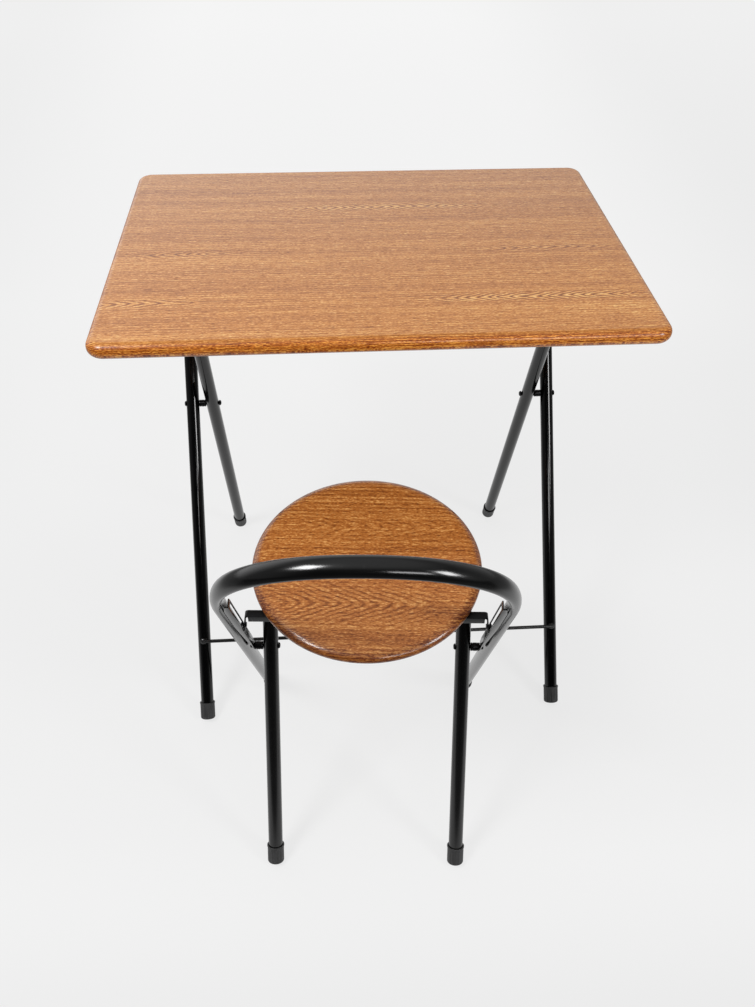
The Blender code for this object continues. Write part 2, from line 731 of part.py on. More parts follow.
def rail_outline(end):
    """The slotted face: round its lower end on the pivot, flat edges, a round corner at the top."""
    corner = RAIL_CORNER_RADIUS
    front = RAIL_FRONT_REACH
    points = arc((0, 0), RAIL_FOOT_RADIUS, 190, 350, CORNER_STEPS)
    points += [(front, RAIL_FACE_START)]
    points += arc((front - corner, end - corner), corner, 0, 90, CORNER_STEPS)
    points += [(-RAIL_REAR_REACH, end), (-RAIL_REAR_REACH, RAIL_FACE_START)]
    return points


def slot_outline(start, end, half_width):
    points = arc((SLOT_OFFSET, start), half_width, 180, 360, CORNER_STEPS)
    return points + arc((SLOT_OFFSET, end), half_width, 0, 180, CORNER_STEPS)


def add_guide_rail(build, name, side, line):
    """An angle of sheet: a slotted face for the pin and a web that ends on the arm's tube."""
    half_width = PIN_DIAMETER / 2 + SLOT_PLAY
    end = PIN_TRAVEL_END + half_width + RAIL_END_MARGIN
    hole = arc((0, 0), BOLT_DIAMETER / 2 + HOLE_CLEARANCE, 0, 330, SMALL_STEPS - 1)
    outlines = [rail_outline(end), slot_outline(pin_place(), PIN_TRAVEL_END, half_width), hole]
    mesh = plate_mesh(f"chair_guide_rail_{name}", outlines, RAIL_SHEET)
    across = side * (rail_face() + RAIL_SHEET / 2)
    rail = build.piece(f"chair_guide_rail_{name}", mesh, "black_paint", line, (across, 0, 0), (0, 90, 0))
    combine(rail, add_rail_web(build, name, side, line, end), "UNION")


def web_width():
    """From the slotted face out to the oval tube, at the depth of the web."""
    depth = ARM_OFFSET + RAIL_REAR_REACH - RAIL_SHEET
    depth_share = depth / (ARM_TUBE_DEPTH / 2)
    tube_half_width = ARM_TUBE_WIDTH / 2 * math.sqrt(1 - depth_share ** 2)
    return arm_half_spacing() - tube_half_width - GAP - rail_face()


def add_rail_web(build, name, side, line, end):
    """The web of the rail, as wide as the tube allows at the top and narrower lower down."""
    width = web_width()
    corner = RAIL_CORNER_RADIUS
    points = [(0, RAIL_WEB_START), (RAIL_WEB_LOW_WIDTH, RAIL_WEB_START), (width, RAIL_WEB_FULL)]
    points += [(width, HOOP_START)]
    points += arc((width - 2 * corner, end - corner), corner, 0, 90, CORNER_STEPS)
    points += [(0, end)]
    points = [(side * (rail_face() + x), y) for x, y in points]
    mesh = plate_mesh(f"rail_web_{name}", [points], RAIL_SHEET)
    return build.cutter(f"rail_web_{name}", mesh, line, (0, 0, RAIL_REAR_REACH - RAIL_SHEET / 2))


def add_chair_pivots(build, chair, pivot):
    half = CHAIR_LEG_SPACING / 2
    inner_face = half - TUBE_DIAMETER / 2
    outer_face = rail_face() + RAIL_SHEET
    grip = outer_face - inner_face + GAP
    between = half + TUBE_DIAMETER / 2 + GAP + CHAIR_SPACER_LENGTH / 2
    for name, side in LEFT_AND_RIGHT:
        at = pivot + Vector((side * (inner_face - GAP), 0, 0))
        add_bolt(build, f"chair_pivot_bolt_{name}", chair, at, -side, grip)
        at = pivot + Vector((side * (outer_face + GAP), 0, 0))
        add_nut(build, f"chair_pivot_nut_{name}", chair, at, side)
        at = pivot + Vector((side * between, 0, 0))
        add_spacer(build, f"chair_pivot_spacer_{name}", chair, at, CHAIR_SPACER_LENGTH,
                   CHAIR_SPACER_DIAMETER)


def add_seat(build, axis):
    """The round board on its hinge bar, with the strap and the guide pins behind."""
    inset = SEAT_EDGE_RADIUS
    outline = arc((0, 0), SEAT_RADIUS - inset, 0, 360 - 360 / SEAT_STEPS, SEAT_STEPS - 1)
    mesh = board_mesh("chair_seat", outline, SEAT_THICKNESS, inset)
    middle = (0, -SEAT_CENTRE_REACH, saddle_drop() + SEAT_THICKNESS / 2)
    board = build.piece("chair_seat", mesh, "seat_wood", axis, middle)
    for name, side in LEFT_AND_RIGHT:
        add_saddle(build, f"chair_saddle_{name}", axis, side * SEAT_SADDLE_SPACING / 2, board)
    add_strap(build, axis, board)


def add_strap(build, axis, board):
    """A strap across the underside with a lip along its rear, and tabs for the guide pins."""
    tab = rail_face() - TAB_CLEARANCE - STRAP_SHEET / 2
    top = saddle_drop() - GAP - STRAP_SHEET / 2
    wall_top = top - STRAP_BEND_RADIUS
    wall_low = wall_top - STRAP_SHEET
    corners = [(-tab, wall_low), (-tab, top), (tab, top), (tab, wall_low)]
    path = bent_path(corners, STRAP_BEND_RADIUS, 3)
    mesh = strip_mesh("chair_seat_strap", path, STRAP_WIDTH)
    strap = build.piece("chair_seat_strap", mesh, "black_paint", axis, (0, -STRAP_REACH, 0), (0, 0, 90))
    thicken(strap, STRAP_SHEET)
    lip_size = (2 * (tab - STRAP_BEND_RADIUS), STRAP_SHEET, STRAP_LIP)
    lip_y = -STRAP_REACH - STRAP_WIDTH / 2 + STRAP_SHEET / 2
    lip_z = top + STRAP_SHEET / 2 - STRAP_LIP / 2
    lip = build.cutter("strap_lip", box_mesh("strap_lip", lip_size), axis, (0, lip_y, lip_z))
    combine(strap, lip, "UNION")
    for name, side in LEFT_AND_RIGHT:
        tab_mesh = plate_mesh(f"strap_tab_{name}", [tab_outline(wall_top)], STRAP_SHEET)
        at = (side * tab, 0, 0)
        combine(strap, build.cutter(f"strap_tab_{name}", tab_mesh, axis, at, (90, 0, 90)), "UNION")
    pin_hole_mesh = cylinder_mesh(
        "pin_hole", PIN_DIAMETER / 2 + HOLE_CLEARANCE, 2 * (tab + STRAP_SHEET + CUT_OVERRUN)
    )
    pin_at = (0, -PIN_REACH, PIN_RISE)
    combine(strap, build.cutter("pin_hole", pin_hole_mesh, axis, pin_at, (0, 90, 0)))
    seat = top - STRAP_SHEET / 2 - GAP
    screw_y = STRAP_SHEET / 2 - STRAP_REACH
    for name, side in LEFT_AND_RIGHT:
        at = (side * STRAP_SCREW_SPACING / 2, screw_y, seat)
        hole = screw_hole(build, f"strap_screw_{name}_hole", axis, at, 0, SCREW_LENGTH + GAP)
        combine(strap, hole)
        combine(board, hole)
        add_screw(build, f"chair_strap_screw_{name}", axis, at)
        add_guide_pin(build, name, side, axis, tab, pin_at)


def tab_outline(top):
    """A tab in the seat's own side view: from the strap's end down and back round the pin."""
    half = TAB_WIDTH / 2
    points = arc((-PIN_REACH, PIN_RISE - TAB_BELOW_PIN + half), half, 180, 360, CORNER_STEPS)
    points += [(half - PIN_REACH, PIN_RISE)]
    points += [(STRAP_WIDTH / 2 - STRAP_REACH, top), (-STRAP_WIDTH / 2 - STRAP_REACH, top)]
    points += [(-half - PIN_REACH, PIN_RISE)]
    return points


def add_guide_pin(build, name, side, axis, tab, pin_at):
    """A riveted pin: a head inside the tab, a shank through the tab and the slot, an outer head."""
    radius = PIN_DIAMETER / 2
    inner_head = PIN_INNER_HEAD_DIAMETER / 2
    tab_inside = tab - STRAP_SHEET / 2 - GAP
    slot_outside = rail_face() + RAIL_SHEET + GAP
    shank = slot_outside - tab_inside
    profile = head_profile(PIN_HEAD_DIAMETER / 2, PIN_HEAD_HEIGHT, shank + PIN_HEAD_HEIGHT)
    profile += [
        (radius, shank),
        (radius, 0),
        (inner_head, 0),
        (inner_head, -PIN_INNER_HEAD_HEIGHT),
        (0, -PIN_INNER_HEAD_HEIGHT),
    ]
    at = (side * tab_inside, pin_at[1], pin_at[2])
    add_turned(build, f"chair_guide_pin_{name}", profile, "black_hardware", axis, at, (0, 90 * side, 0))


def main():
    clear_scene()
    build = Builder()
    whole = build.empty("set_origin")
    table = build.empty("table_place", whole, (0, TABLE_AHEAD, 0))
    chair_at = (CHAIR_X, TABLE_AHEAD + CHAIR_Y, 0)
    chair = build.empty("chair_place", whole, chair_at, turn=CHAIR_TURN)
    add_table(build, table)
    add_chair(build, chair)


main()
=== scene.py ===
"""Looks of a folding table with crossed tube legs and a folding chair with a round seat.

Lengths are metres and angles degrees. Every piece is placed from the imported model: its joints,
its boxes, and the few driving sizes named below.
"""

import json
import math

import bmesh
import bpy
from mathutils import Matrix, Vector


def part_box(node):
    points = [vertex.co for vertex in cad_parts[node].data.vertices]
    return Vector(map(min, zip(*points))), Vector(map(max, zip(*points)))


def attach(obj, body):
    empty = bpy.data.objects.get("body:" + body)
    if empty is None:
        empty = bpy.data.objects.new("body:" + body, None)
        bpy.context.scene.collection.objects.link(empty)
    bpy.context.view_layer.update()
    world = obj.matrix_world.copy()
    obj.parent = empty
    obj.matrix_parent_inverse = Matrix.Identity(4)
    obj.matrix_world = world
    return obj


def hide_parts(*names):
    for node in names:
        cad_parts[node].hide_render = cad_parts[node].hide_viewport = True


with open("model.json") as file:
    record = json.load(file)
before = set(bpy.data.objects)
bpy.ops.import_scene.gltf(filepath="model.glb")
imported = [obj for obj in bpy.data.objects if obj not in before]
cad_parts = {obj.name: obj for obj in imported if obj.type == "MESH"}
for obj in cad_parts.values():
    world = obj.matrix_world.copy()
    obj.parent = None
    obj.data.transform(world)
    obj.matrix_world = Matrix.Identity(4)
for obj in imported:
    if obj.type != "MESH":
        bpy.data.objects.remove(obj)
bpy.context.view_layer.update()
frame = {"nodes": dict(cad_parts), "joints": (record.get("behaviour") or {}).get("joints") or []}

# Camera, in the model's frame: its focal length and image side are pixels, its sensor millimetres
CAMERA_AT = (-0.08594, -1.18833, 1.39368)
CAMERA_YAW = -4.1173
CAMERA_PITCH = 40.5451
CAMERA_ROLL = 0.6054
FOCAL_PIXELS = 934.34
IMAGE_LONG_SIDE = 1007
SENSOR = 36.0

# Tubes
TUBE_DIAMETER = 0.022
TUBE_TIP_ROUND = 0.0006
STRETCHER_DIAMETER = 0.0062
TABLE_BEND_RADIUS = 0.045
CHAIR_BEND_RADIUS = 0.036
ARM_LEAN = 120.3
ARM_TUBE_WIDTH = 0.0165
ARM_TUBE_DEPTH = 0.026
HOOP_START = 0.2395
HOOP_SQUARENESS = 2.2

# Boards
SEAT_LEAN = 7.1
TOP_CORNER_RADIUS = 0.025
TOP_EDGE_RADIUS = 0.0115
SEAT_EDGE_RADIUS = 0.0105
SEAT_EDGE_SPREAD = 0.0220
BACKING_INSET = 0.012
BACKING_THICKNESS = 0.00024

# Rubber feet
FOOT_SOLE = 0.008
FOOT_RIM_HEIGHT = 0.0025
FOOT_RIM_PROUD = 0.0006
FOOT_EDGE_RADIUS = 0.003
FOOT_RIBS = 14
FOOT_RIB_DEPTH = 0.0006
FLOOR_CLEARANCE = 0.00005

# Pivot bolts and their nuts and spacers
BOLT_SHAFT_RADIUS = 0.0025
BOLT_HEAD_HEIGHT = 0.0028
BOLT_WASHER_HEIGHT = 0.0008
BOLT_HOLE_RADIUS = 0.0028
NUT_FLATNESS = 0.873

# Wood screws
SCREW_LENGTH = 0.016
SCREW_SHAFT_RADIUS = 0.0020
SCREW_HEAD_RADIUS = 0.0039
SCREW_HEAD_HEIGHT = 0.0024
SCREW_RIDGES = 9
SCREW_DEGREES_PER_METRE = 3700

# Fineness of round shapes
TUBE_SIDES = 40
LONGEST_TUBE_PART = 0.06
HOOP_STEPS = 96
BEND_STEPS = 14
TURN_STEPS = 40
NUT_STEPS = 60
DOME_STEPS = 8
CORNER_STEPS = 16
SEAT_STEPS = 160
EDGE_STEPS = 12
FOOT_STEPS_PER_RIB = 10
FOOT_WALL_STEPS = 4
FOOT_EDGE_STEPS = 5
WELD_STEPS = 16
WELD_SIDES = 20
SOFT_EDGE_STEPS = 2

# Angles between two faces from which their edge is shaded sharp
SHARP_ANGLE = 35.0
BOARD_SHARP_ANGLE = 60.0
FOOT_SHARP_ANGLE = 30.0
PRESSED_SHARP_ANGLE = 50.0

SMALL_GAP = 0.0002
UP = Vector((0, 0, 1))
LEFT_AND_RIGHT = (("left", -1), ("right", 1))
JOINTS = {joint["name"]: joint for joint in frame["joints"]}


# Shader maths: a value that varies over a surface, and the node tree that it belongs to

class Shade:
    """A value that varies over a surface. An expression on numbers adds its Math nodes."""

    def __init__(self, nodes, socket):
        self.nodes = nodes
        self.socket = socket

    def __add__(self, other):
        return self.nodes.sum("ADD", self, other)

    def __sub__(self, other):
        return self.nodes.sum("SUBTRACT", self, other)

    def __rsub__(self, other):
        return self.nodes.sum("SUBTRACT", other, self)

    def __mul__(self, other):
        return self.nodes.sum("MULTIPLY", self, other)

    def __truediv__(self, other):
        return self.nodes.sum("DIVIDE", self, other)

    def __rtruediv__(self, other):
        return self.nodes.sum("DIVIDE", other, self)

    def __pow__(self, other):
        return self.nodes.sum("POWER", self, other)

    def __rpow__(self, other):
        return self.nodes.sum("POWER", other, self)

    __radd__ = __add__
    __rmul__ = __mul__

    def apply(self, operation):
        return self.nodes.sum(operation, self)

    def smooth(self, low, high):
        """From 0 below the low value to 1 above the high one."""
        settings = {"interpolation_type": "SMOOTHSTEP"}
        inputs = {"Value": self, "From Min": low, "From Max": high}
        return self.nodes.node("ShaderNodeMapRange", settings, inputs, "Result")


class Nodes:
    """A node tree. A plain value is set on its socket, and a varying one is linked to it."""

    def __init__(self, tree):
        self.tree = tree

    def link(self, target, value):
        if isinstance(value, Shade):
            self.tree.links.new(value.socket, target)
        else:
            target.default_value = value

    def node(self, kind, settings, inputs, *outputs):
        """Any node: its settings are set first, then the values or links of its sockets."""
        node = self.tree.nodes.new(kind)
        for key, value in settings.items():
            if key == "stops":
                fill_ramp(node.color_ramp, value)
            else:
                setattr(node, key, value)
        for key, value in inputs.items():
            self.link(node.inputs[key], value)
        shades = [Shade(self, node.outputs[output]) for output in outputs]
        return shades if len(shades) > 1 else shades[0]

    def sum(self, operation, first, second=None):
        inputs = {0: first}
        if second is not None:
            inputs[1] = second
        return self.node("ShaderNodeMath", {"operation": operation}, inputs, 0)

    def axes(self, output="Object"):
        """The three parts of a place on the surface, or of the surface's direction."""
        place = self.node("ShaderNodeTexCoord", {}, {}, output)
        return self.node("ShaderNodeSeparateXYZ", {}, {0: place}, "X", "Y", "Z")

    def noise(self, x, y, z, detail, roughness=0.5):
        """Noise about 0, mostly from -0.3 to 0.3, at a place given in waves."""
        place = self.node("ShaderNodeCombineXYZ", {}, {0: x, 1: y, 2: z}, 0)
        inputs = {"Vector": place, "Scale": 1.0, "Detail": detail, "Roughness": roughness}
        return self.node("ShaderNodeTexNoise", {"noise_dimensions": "3D"}, inputs, 0) - 0.5

    def spots(self, waves, detail, roughness=0.5):
        """Noise that is as fine in all directions, in waves per metre."""
        x, y, z = self.axes()
        return self.noise(x * waves, y * waves, z * waves, detail, roughness)

    def ramp(self, value, stops):
        return self.node("ShaderNodeValToRGB", {"stops": stops}, {0: value}, "Color")

    def blend(self, share, first, second, mode="MIX"):
        """A mix of two colours, or another of the mix node's modes."""
        settings = {"data_type": "RGBA", "blend_type": mode}
        first_colour, second_colour, mixed_colour = 6, 7, 2
        inputs = {"Factor": share, first_colour: first, second_colour: second}
        return self.node("ShaderNodeMix", settings, inputs, mixed_colour)

    def rays(self, *kinds):
        """1 for rays of a kind, such as those from the camera, and 0 for all others."""
        return self.node("ShaderNodeLightPath", {}, {}, *kinds)


class Finish(Nodes):
    """A material: its main shader, with a value or link for each socket that isn't left alone."""

    def __init__(self, name, **plain):
        self.material = bpy.data.materials.new(name)
        self.material.use_nodes = True
        super().__init__(self.material.node_tree)
        self.shader = self.tree.nodes["Principled BSDF"]
        for label, value in plain.items():
            self.surface(label.replace("_", " "), value)

    def surface(self, label, value):
        self.link(self.shader.inputs[label], value)

    def bump(self, height, depth):
        """Relief: a height from 0 to 1 stands for that depth in metres."""
        inputs = {"Height": height, "Distance": depth, "Strength": 1.0}
        self.surface("Normal", self.node("ShaderNodeBump", {}, inputs, "Normal"))

    def glow(self, share, colour):
        """Shows a share of the surface in a plain colour, without light, and the rest as lit."""
        lit = Shade(self, self.shader.outputs[0])
        plain = self.node("ShaderNodeEmission", {}, {"Color": colour}, 0)
        shown = self.node("ShaderNodeMixShader", {}, {0: share, 1: lit, 2: plain}, 0)
        self.link(self.tree.nodes["Material Output"].inputs[0], shown)


def fill_ramp(ramp, stops):
    while len(ramp.elements) < len(stops):
        ramp.elements.new(0.5)
    for element, (position, colour) in zip(ramp.elements, stops):
        element.position = position
        element.color = (*colour, 1.0)


def grey(level):
    return level, level, level


# Wood-grain film

FILM_WRAP = 1.3
# Drop below the top face over which the rounded edge comes on: painted shade darkens it there, and its
# grain prints with more contrast
EDGE_SHADE_AND_GRAIN_DROP = (0.0004, 0.0042)
RING_SHARPNESS = 2.2
ARCH_FADE = 0.25
TONE_STOPS = (0.10, 0.38, 0.62, 0.92)
PORE_DEPTH = 0.00005

# How far the grain strays from straight lines
WANDER_REACH = 0.016
RIPPLE_REACH = 0.0042
UNEVEN_REACH = 0.0150

# Parts of the printed grain: waves per metre along and across it, place, detail, roughness
GRAIN = {
    "wander": (3.0, 9.0, 0.0, 3.0, 0.5),
    "ripple": (50.0, 100.0, 3.1, 2.0, 0.5),
    "uneven": (13.0, 20.0, 5.3, 2.0, 0.5),
    "patches": (5.0, 26.0, 7.7, 2.0, 0.5),
    "bands": (0.8, 42.0, 11.0, 3.0, 0.5),
    "fibres": (7.0, 330.0, 13.0, 3.0, 0.6),
    "streaks": (26.0, 360.0, 17.0, 3.0, 0.6),
    "dashes": (80.0, 640.0, 23.0, 2.0, 0.6),
    "pores": (130.0, 1100.0, 29.0, 1.0, 0.5),
    "scuffs": (14.0, 17.0, 31.0, 4.0, 0.5),
    "flecks": (240.0, 900.0, 41.0, 1.0, 0.5),
}


class Arches:
    """Nested arches along one line of a board, from a start to an end. The reach is how far they
    spread to each side of it, the slope how steep their arms stand, the tip how round their tips
    are, and the strength how dark their lines print."""

    def __init__(self, line, start, end, reach, slope, tip, strength):
        self.line = line
        self.start = start
        self.end = end
        self.reach = reach
        self.slope = slope
        self.tip = tip
        self.strength = strength

    def share(self, along, across):
        """1 on the arches and 0 away from them, with a soft border."""
        off = (across - self.line) / self.reach
        hill = (off * off * off * off * -1.0).apply("EXPONENT")
        fade = (self.end - self.start) * ARCH_FADE
        begins = along.smooth(self.start - fade, self.start + fade)
        ends = along.smooth(self.end - fade, self.end + fade)
        return hill * (begins - ends)

    def field(self, along, across):
        """Distance through the rings: the arms run off at a slant on both sides of the line."""
        away = across - self.line
        return (away * away + self.tip * self.tip).apply("SQRT") + along * self.slope


# Arches are given by their line, start, end, reach, slope, tip and strength.
TABLE_FILM = {
    "tones": ((0.18, 0.047, 0.004), (0.38, 0.128, 0.016), (0.56, 0.226, 0.044), (0.80, 0.475, 0.150)),
    # Painted shade: a multiplier that darkens the table's rounded edge, most in green and blue
    "edge_shade": (0.97, 0.71, 0.37, 1.0),
    "ring_spacing": 0.0062,
    "contrast": 0.92,
    "coat_roughness": 0.25,
    "seed": 4.0,
    "arches": (
        Arches(0.130, -0.14, 0.21, 0.014, 0.36, 0.002, 1.6),
        Arches(-0.192, 0.07, 0.38, 0.014, -0.36, 0.002, 1.9),
        Arches(-0.188, -0.40, -0.25, 0.011, 0.25, 0.002, 1.5),
        Arches(-0.034, -0.37, -0.20, 0.010, -0.30, 0.002, 1.2),
        Arches(-0.036, 0.17, 0.38, 0.009, 0.30, 0.002, 1.2),
    ),
}
SEAT_FILM = {
    "tones": ((0.14, 0.034, 0.005), (0.30, 0.088, 0.012), (0.43, 0.150, 0.030), (0.66, 0.330, 0.100)),
    # Painted shade: a multiplier that darkens the seat's rounded rim
    "edge_shade": (0.56, 0.43, 0.33, 1.0),
    "ring_spacing": 0.0080,
    "contrast": 1.20,
    "coat_roughness": 0.17,
    "seed": 12.0,
    "arches": (
        Arches(-0.074, -0.14, 0.10, 0.036, 0.46, 0.004, 0.75),
        Arches(0.060, -0.12, 0.14, 0.018, 0.36, 0.003, 0.45),
    ),
}


def ring_lines(field, spacing):
    """1 on thin lines, which print dark, and 0 on the broad light ones between them."""
    wave = (field * (2 * math.pi / spacing)).apply("SINE") * 0.5 + 0.5
    return wave ** RING_SHARPNESS


def film_place(finish, top):
    """Place along and across the printed grain, which runs on over a rounded edge, and the drop
    below the board's top face."""
    x, y, z = finish.axes()
    out_x, out_y, _ = finish.axes("Normal")
    drop = top - z
    wrapped = drop * FILM_WRAP
    return x + out_x * wrapped, y + out_y * wrapped, drop


def film_finish(name, top, tones, edge_shade, ring_spacing, contrast, coat_roughness, seed, arches):
    """Printed film with the lines, pores and arches of sawn oak under a satin coat; painted shade on its
    rounded edge.
    """
    finish = Finish(
        name, IOR=1.45, Specular_IOR_Level=0.25, Coat_IOR=1.5, Coat_Roughness=coat_roughness
    )
    along, across, drop = film_place(finish, top)

    def grain(part, line):
        along_waves, across_waves, place, detail, roughness = GRAIN[part]
        return finish.noise(along * along_waves, line * across_waves, seed + place, detail, roughness)

    line = across + grain("wander", across) * WANDER_REACH
    ripple = grain("ripple", across) * RIPPLE_REACH
    uneven = grain("uneven", across) * UNEVEN_REACH
    field = line + ripple
    rings = ring_lines(field, ring_spacing)
    strength = grain("patches", field).smooth(-0.20, 0.20) * 0.40 + 0.06
    for arch in arches:
        share = arch.share(along, line)
        bent = arch.field(along, line) + ripple + uneven
        rings = rings + share * (ring_lines(bent, ring_spacing) - rings)
        strength = strength + share * (arch.strength - strength)

    edge = drop.smooth(*EDGE_SHADE_AND_GRAIN_DROP)
    bands = grain("bands", line)
    fibres = grain("fibres", line)
    streaks = grain("streaks", field)
    dashes = grain("dashes", field)
    flecks = grain("flecks", field)
    tone = bands * 0.52 - (rings - 0.36) * strength * 0.42
    tone = tone + fibres * 0.45 + streaks * 0.65 + dashes * 1.10 + flecks * 1.00
    tone = tone * (edge * 1.3 + 1.0) * contrast + 0.49
    pore = grain("pores", field).smooth(0.08, 0.20) * (1.0 - tone.smooth(0.40, 0.80))

    colour = finish.ramp(tone, list(zip(TONE_STOPS, tones)))
    colour = finish.blend(pore * 0.60, colour, (*tones[0], 1.0))
    # Painted shade: the edge colour multiplies the film on the rounded edge
    finish.surface("Base Color", finish.blend(edge, colour, edge_shade, "MULTIPLY"))
    scuffs = grain("scuffs", across)
    finish.surface("Roughness", scuffs * 0.12 + pore * 0.12 + 0.45)
    finish.surface("Coat Weight", scuffs * 0.20 + dashes * 1.2 + flecks * 0.8 - pore * 0.2 + 0.70)
    finish.bump(1.0 - pore * 0.8 - streaks.smooth(0.0, 0.4) * 0.2, PORE_DEPTH)
    return finish.material


def backing_finish():
    """Brown paper on the underside of a board, with fibres and faint stains."""
    finish = Finish("backing_paper", IOR=1.45)
    x, y, z = finish.axes()
    fibres = finish.noise(x * 420.0, y * 900.0, z, detail=3.0)
    cloud = finish.noise(x * 9.0, y * 9.0, z, detail=4.0)
    dark, light = (0.16, 0.095, 0.050), (0.27, 0.170, 0.095)
    tone = fibres * 0.5 + cloud * 0.6 + 0.5
    finish.surface("Base Color", finish.ramp(tone, [(0.2, dark), (0.8, light)]))
    finish.surface("Roughness", fibres * 0.15 + 0.78)
    finish.bump(fibres + 0.5, depth=0.00008)
    return finish.material


# Paint, steel, rubber and plastic

DUST = (0.09, 0.09, 0.09, 1.0)


def paint_finish(name, colour, roughness, peel_depth, gloss=0.5):
    """Black stove paint: a thin orange peel, faint dust and rubbed patches."""
    finish = Finish(name, IOR=1.5, Specular_IOR_Level=gloss)
    peel = finish.spots(700.0, detail=1.0)
    rub = finish.spots(24.0, detail=4.0, roughness=0.6)
    dust = finish.spots(160.0, detail=3.0).smooth(0.16, 0.34)
    dark = [0.75 * part for part in colour]
    light = [1.3 * part for part in colour]
    base = finish.ramp(rub + 0.5, [(0.2, dark), (0.8, light)])
    finish.surface("Base Color", finish.blend(dust * 0.10, base, DUST))
    finish.surface("Roughness", rub * 0.10 + dust * 0.10 + roughness)
    finish.bump(peel + 0.5, peel_depth)
    return finish.material


def steel_finish(name, dark, light, roughness, waves):
    """Plated steel with turning marks and small stains."""
    finish = Finish(name, Metallic=1.0)
    x, y, z = finish.axes()
    marks = finish.noise(x * waves, y * waves, z * waves * 3.0, detail=3.0)
    stain = finish.spots(260.0, detail=4.0)
    finish.surface("Base Color", finish.ramp(marks * 0.6 + stain + 0.5, [(0.2, dark), (0.8, light)]))
    finish.surface("Roughness", stain * 0.25 + roughness)
    finish.bump(marks + 0.5, depth=0.00002)
    return finish.material


def moulded_finish(name, dark, light, roughness, grain_depth):
    """Moulded rubber or plastic with a fine spark grain, whose hollows print a little darker as painted
    shade.
    """
    finish = Finish(name, IOR=1.48)
    grain = finish.spots(1500.0, detail=2.0)
    cloud = finish.spots(60.0, detail=4.0)
    # Painted shade: the hollows of the spark grain print a little darker than its peaks
    finish.surface("Base Color", finish.ramp(cloud + grain * 0.3 + 0.5, [(0.25, dark), (0.8, light)]))
    finish.surface("Roughness", grain * 0.15 + cloud * 0.10 + roughness)
    finish.bump(grain + 0.5, grain_depth)
    return finish.material


FINISHES = {
    "backing": backing_finish(),
    "frame_paint": paint_finish(
        "frame_paint", (0.0018, 0.0018, 0.0019), roughness=0.18, peel_depth=0.000004
    ),
    "leg_paint": paint_finish(
        "leg_paint", (0.0010, 0.0010, 0.0011), roughness=0.12, peel_depth=0.000003, gloss=0.34
    ),
    "sheet_paint": paint_finish(
        "sheet_paint", (0.0030, 0.0030, 0.0032), roughness=0.22, peel_depth=0.000010
    ),
    "strap_paint": paint_finish(
        "strap_paint", (0.0040, 0.0040, 0.0042), roughness=0.30, peel_depth=0.000012, gloss=0.15
    ),
    "hardware": steel_finish(
        "blackened_steel", (0.006, 0.006, 0.006), (0.030, 0.030, 0.032), roughness=0.36, waves=900.0
    ),
    "zinc": steel_finish(
        "zinc_plate", (0.38, 0.39, 0.41), (0.66, 0.67, 0.70), roughness=0.34, waves=1500.0
    ),
    "rubber": moulded_finish(
        "foot_rubber", (0.012, 0.012, 0.012), (0.030, 0.030, 0.031),
        roughness=0.52, grain_depth=0.00004,
    ),
    "plastic": moulded_finish(
        "catch_plastic", (0.020, 0.020, 0.021), (0.040, 0.040, 0.041),
        roughness=0.46, grain_depth=0.00003,
    ),
}


# Places read from the frame

def lean_frame(origin, side, lean):
    """A frame at a point: X along the side direction, then leaned about it by an angle."""
    side = Vector(side).normalized()
    turn = Matrix((side, UP.cross(side), UP)).transposed().to_4x4()
    return Matrix.Translation(origin) @ turn @ Matrix.Rotation(math.radians(lean), 4, "X")


def line_frame(origin, side, target):
    """A frame at a point whose Y axis points to a target."""
    ahead = UP.cross(Vector(side).normalized())
    way = Vector(target) - Vector(origin)
    return lean_frame(origin, side, math.degrees(math.atan2(way.z, way.dot(ahead))))


def extent(node, place):
    """Lowest and highest corner of a node in a frame of its own."""
    back = place.inverted()
    points = [back @ vertex.co for vertex in frame["nodes"][node].data.vertices]
    low = Vector([min(point[axis] for point in points) for axis in range(3)])
    high = Vector([max(point[axis] for point in points) for axis in range(3)])
    return low, high


def bar_centre(node, rear):
    """The middle of a leg frame's top bar, at the frame's upper rear or upper front corner."""
    low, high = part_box(node)
    radius = TUBE_DIAMETER / 2
    y = high.y - radius if rear else low.y + radius
    return Vector((0, y, high.z - radius))


TABLE_SIDE = (1, 0, 0)
CHAIR_SIDE = JOINTS["chair_fold"]["axis"]
TABLE_PIVOT = JOINTS["table_fold"]["pos_m"]
CHAIR_PIVOT = JOINTS["chair_fold"]["pos_m"]
SEAT_HINGE = JOINTS["seat_fold"]["pos_m"]

OUTER_LINE = line_frame(TABLE_PIVOT, TABLE_SIDE, bar_centre("table_outer_frame", rear=True))
INNER_LINE = line_frame(TABLE_PIVOT, TABLE_SIDE, bar_centre("table_inner_frame", rear=False))
LEG_LINE = line_frame(CHAIR_PIVOT, CHAIR_SIDE, SEAT_HINGE)
ARM_LINE = lean_frame(CHAIR_PIVOT, CHAIR_SIDE, ARM_LEAN)
SEAT_LINE = lean_frame(SEAT_HINGE, CHAIR_SIDE, SEAT_LEAN)
MODEL_FRAME = Matrix.Identity(4)


# Pieces and meshes

def add_item(name, data):
    item = bpy.data.objects.new(name, data)
    bpy.context.scene.collection.objects.link(item)
    return item


def add_piece(name, mesh, finish, place, body, slot, *nodes, own_frame=False):
    """A piece that rides on a body and stands for its CAD nodes. Its mesh is moved to its place;
    a piece whose finish follows its own frame is placed by that frame."""
    item = add_item(name, mesh)
    if own_frame:
        item.matrix_world = place
    else:
        mesh.transform(place)
    mesh.materials.clear()
    mesh.materials.append(finish)
    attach(item, body)
    if nodes:
        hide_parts(*nodes)


def finished(work, name, sharp=SHARP_ANGLE):
    """The mesh of a bmesh, with smooth faces and sharp edges at steep angles."""
    mesh = bpy.data.meshes.new(name)
    bmesh.ops.recalc_face_normals(work, faces=work.faces)
    work.to_mesh(mesh)
    work.free()
    mesh.shade_smooth()
    mesh.set_sharp_from_angle(angle=math.radians(sharp))
    return mesh


